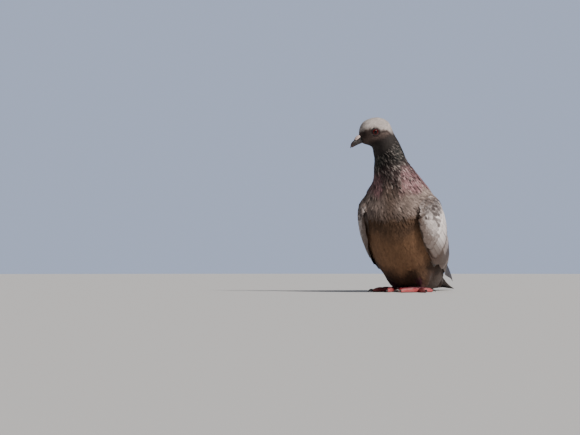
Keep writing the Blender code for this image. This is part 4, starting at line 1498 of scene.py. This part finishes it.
def tail_grid(rows=60, columns=15):
    """The tail's upper face as an even grid from root to tip and right to left."""
    low, high = (np.array(corner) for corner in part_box("tail"))
    tree = solid_tree(["tail"])
    grid = np.zeros((rows, columns, 3))
    for i, y in enumerate(np.linspace(low[1] - 4 * MM, high[1] - 1 * MM, rows)):
        for j, x in enumerate(np.linspace(low[0] + 2 * MM, high[0] - 2 * MM, columns)):
            near_y = min(max(y, low[1] + 5 * MM), high[1] - 8 * MM)
            hit = tree.ray_cast((x, near_y, 0.1), (0, 0, -1))[0]
            grid[i, j] = (x, y, (hit or tree.find_nearest((x, near_y, 0.02))[0])[2])
    return smoothed(grid, 6)


spread = (2 * np.arange(TAIL_QUILLS) - (TAIL_QUILLS - 1)) / (TAIL_QUILLS - 1)
spread = spread[np.argsort(-np.abs(spread))]
tail_low, tail_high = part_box("tail")
half_tail = (tail_high - tail_low).x / 2 / MM
share = np.linspace(0, 1, TAIL_ROWS + 1)[None]
middle = 0.5 + spread[:, None] * 0.5 * (half_tail - TAIL_HALF_QUILL) / (half_tail - 2)
across = 0.5 + (middle - 0.5) * (0.75 + 0.25 * share)
along = share * (1.0 - 0.05 * spread[:, None] ** 2)
run = face_run(tail_grid(), -1, along, across, TAIL_HALF_QUILL * MM)
height = -TAIL_STEP * (np.abs(spread) * (TAIL_QUILLS - 1) / 2 - 0.5)[:, None] * (1 - 0.25 * share)
draw = np.random.RandomState(61)
reach = reach_of(draw, TAIL_QUILLS, TAIL_COLUMNS, 0.06, 2.2, 0.012)
shares = share[..., None] * reach[:, None, :]
shade = paler(draw, shares, 0.05)
band = step(*BAND_BEGINS, shares) * (1 - step(*BAND_ENDS, shares))
outer = (np.abs(spread) > OUTER_QUILLS)[:, None, None]
outside = step(0.55, 0.8, np.sign(spread)[:, None, None] * np.linspace(-1, 1, TAIL_COLUMNS + 1))
tint = mixed(TAIL_GREY, (TAIL_BAND, band)) * shade
tint = mixed(tint, (TAIL_EDGE, 0.6 * outer * outside * (1 - band)))
trim = np.broadcast_to((TAIL_GREY + TAIL_EDGE) / 2 * shade, tint.shape)
tail = feathers("tail_feathers", run, height, reach, quill_width, TAIL_THICK, TAIL_CAMBER, tint, trim,
                quill_patches(TAIL_QUILLS), 62)
lowest = points_of(tail.data)
lowest[:, 2] = np.maximum(lowest[:, 2], TAIL_LOWEST)
place_points(tail.data, lowest)
keep(tail, "feathers_flight", quill, "tail")


# ---- Floor, lights and camera --------------------------------------------------------
# The bird stands on a plain pale studio floor, in soft daylight from its left and above. The
# studio has a lit pale wall behind the bird, dimmer walls round it and a soft light overhead.

FLOOR_RADIUS, FLOOR_SIDES = 4, 96
CAMERA_TURN = math.radians(17)         # how far round to the bird's left the camera stands
CAMERA_FAR = 1.6
CAMERA_HIGH = 0.03
CAMERA_PAN = math.radians(4.95)        # aimed to the left of the bird, which stands at the right
CAMERA_TILT = math.radians(2.07)
CAMERA_LENS = 84.17
SUN_WAY = (-1.5, 0.57, -1.45)
# The studio's colours: the way they are seen in, from where to where, and the colour there.
STUDIO_DIM = (0.11, 0.12, 0.14, 1)
STUDIO = (
    (1, 0.2, 0.85, (0.43, 0.5, 0.68, 1)), (2, 0.2, 0.45, (0.06, 0.07, 0.09, 1)),
    (2, 0.75, 0.95, (0.4, 0.42, 0.45, 1)),
)


def aimed(thing, way):
    """Points a light or the camera the given way."""
    thing.rotation_euler = Vector(way).to_track_quat("-Z", "Y").to_euler()
    return thing


turns = [2 * math.pi * k / FLOOR_SIDES for k in range(FLOOR_SIDES)]
rim = [(FLOOR_RADIUS * math.cos(turn), FLOOR_RADIUS * math.sin(turn), 0) for turn in turns]
floor_mesh = bpy.data.meshes.new("floor")
floor_mesh.from_pydata(rim, [], [tuple(range(FLOOR_SIDES))])
floor = shown("floor", floor_mesh)
pale_floor, tree = new_finish("pale_floor")
plug(tree, tree.nodes["Principled BSDF"], Base_Color=(0.56, 0.55, 0.54, 1), Roughness=0.8)
floor.data.materials.append(pale_floor)

base = np.array([-math.sin(CAMERA_TURN), math.cos(CAMERA_TURN), 0])
right = np.array([math.cos(CAMERA_TURN), math.sin(CAMERA_TURN), 0])
level = base * math.cos(CAMERA_PAN) - right * math.sin(CAMERA_PAN)
camera_data = bpy.data.cameras.new("camera")
camera_data.sensor_width = 36
camera_data.lens = CAMERA_LENS
camera_data.clip_start = 0.05
camera = aimed(shown("camera", camera_data), level * math.cos(CAMERA_TILT) + (0, 0, math.sin(CAMERA_TILT)))
feet_middle = (node_middle("shank_left") + node_middle("shank_right")) / 2 * (1, 1, 0)
camera.location = Vector(feet_middle - base * CAMERA_FAR + (0, 0, CAMERA_HIGH))
bpy.context.scene.camera = camera

sun = bpy.data.lights.new("key", "SUN")
sun.energy = 4.8
sun.angle = math.radians(13)
sun.color = (1.0, 0.96, 0.91)
aimed(shown("key", sun), SUN_WAY)

studio = bpy.data.worlds.new("studio")
studio.use_nodes = True
tree = studio.node_tree
way = node(tree, "ShaderNodeSeparateXYZ", i0=node(tree, "ShaderNodeTexCoord").outputs["Generated"])
walls = STUDIO_DIM
for axis, begin, full, colour in STUDIO:
    walls = mix_colour(tree, "MIX", smooth_range(tree, way.outputs[axis], begin, full), walls, colour)
plug(tree, tree.nodes["Background"], Color=walls)
bpy.context.scene.world = studio
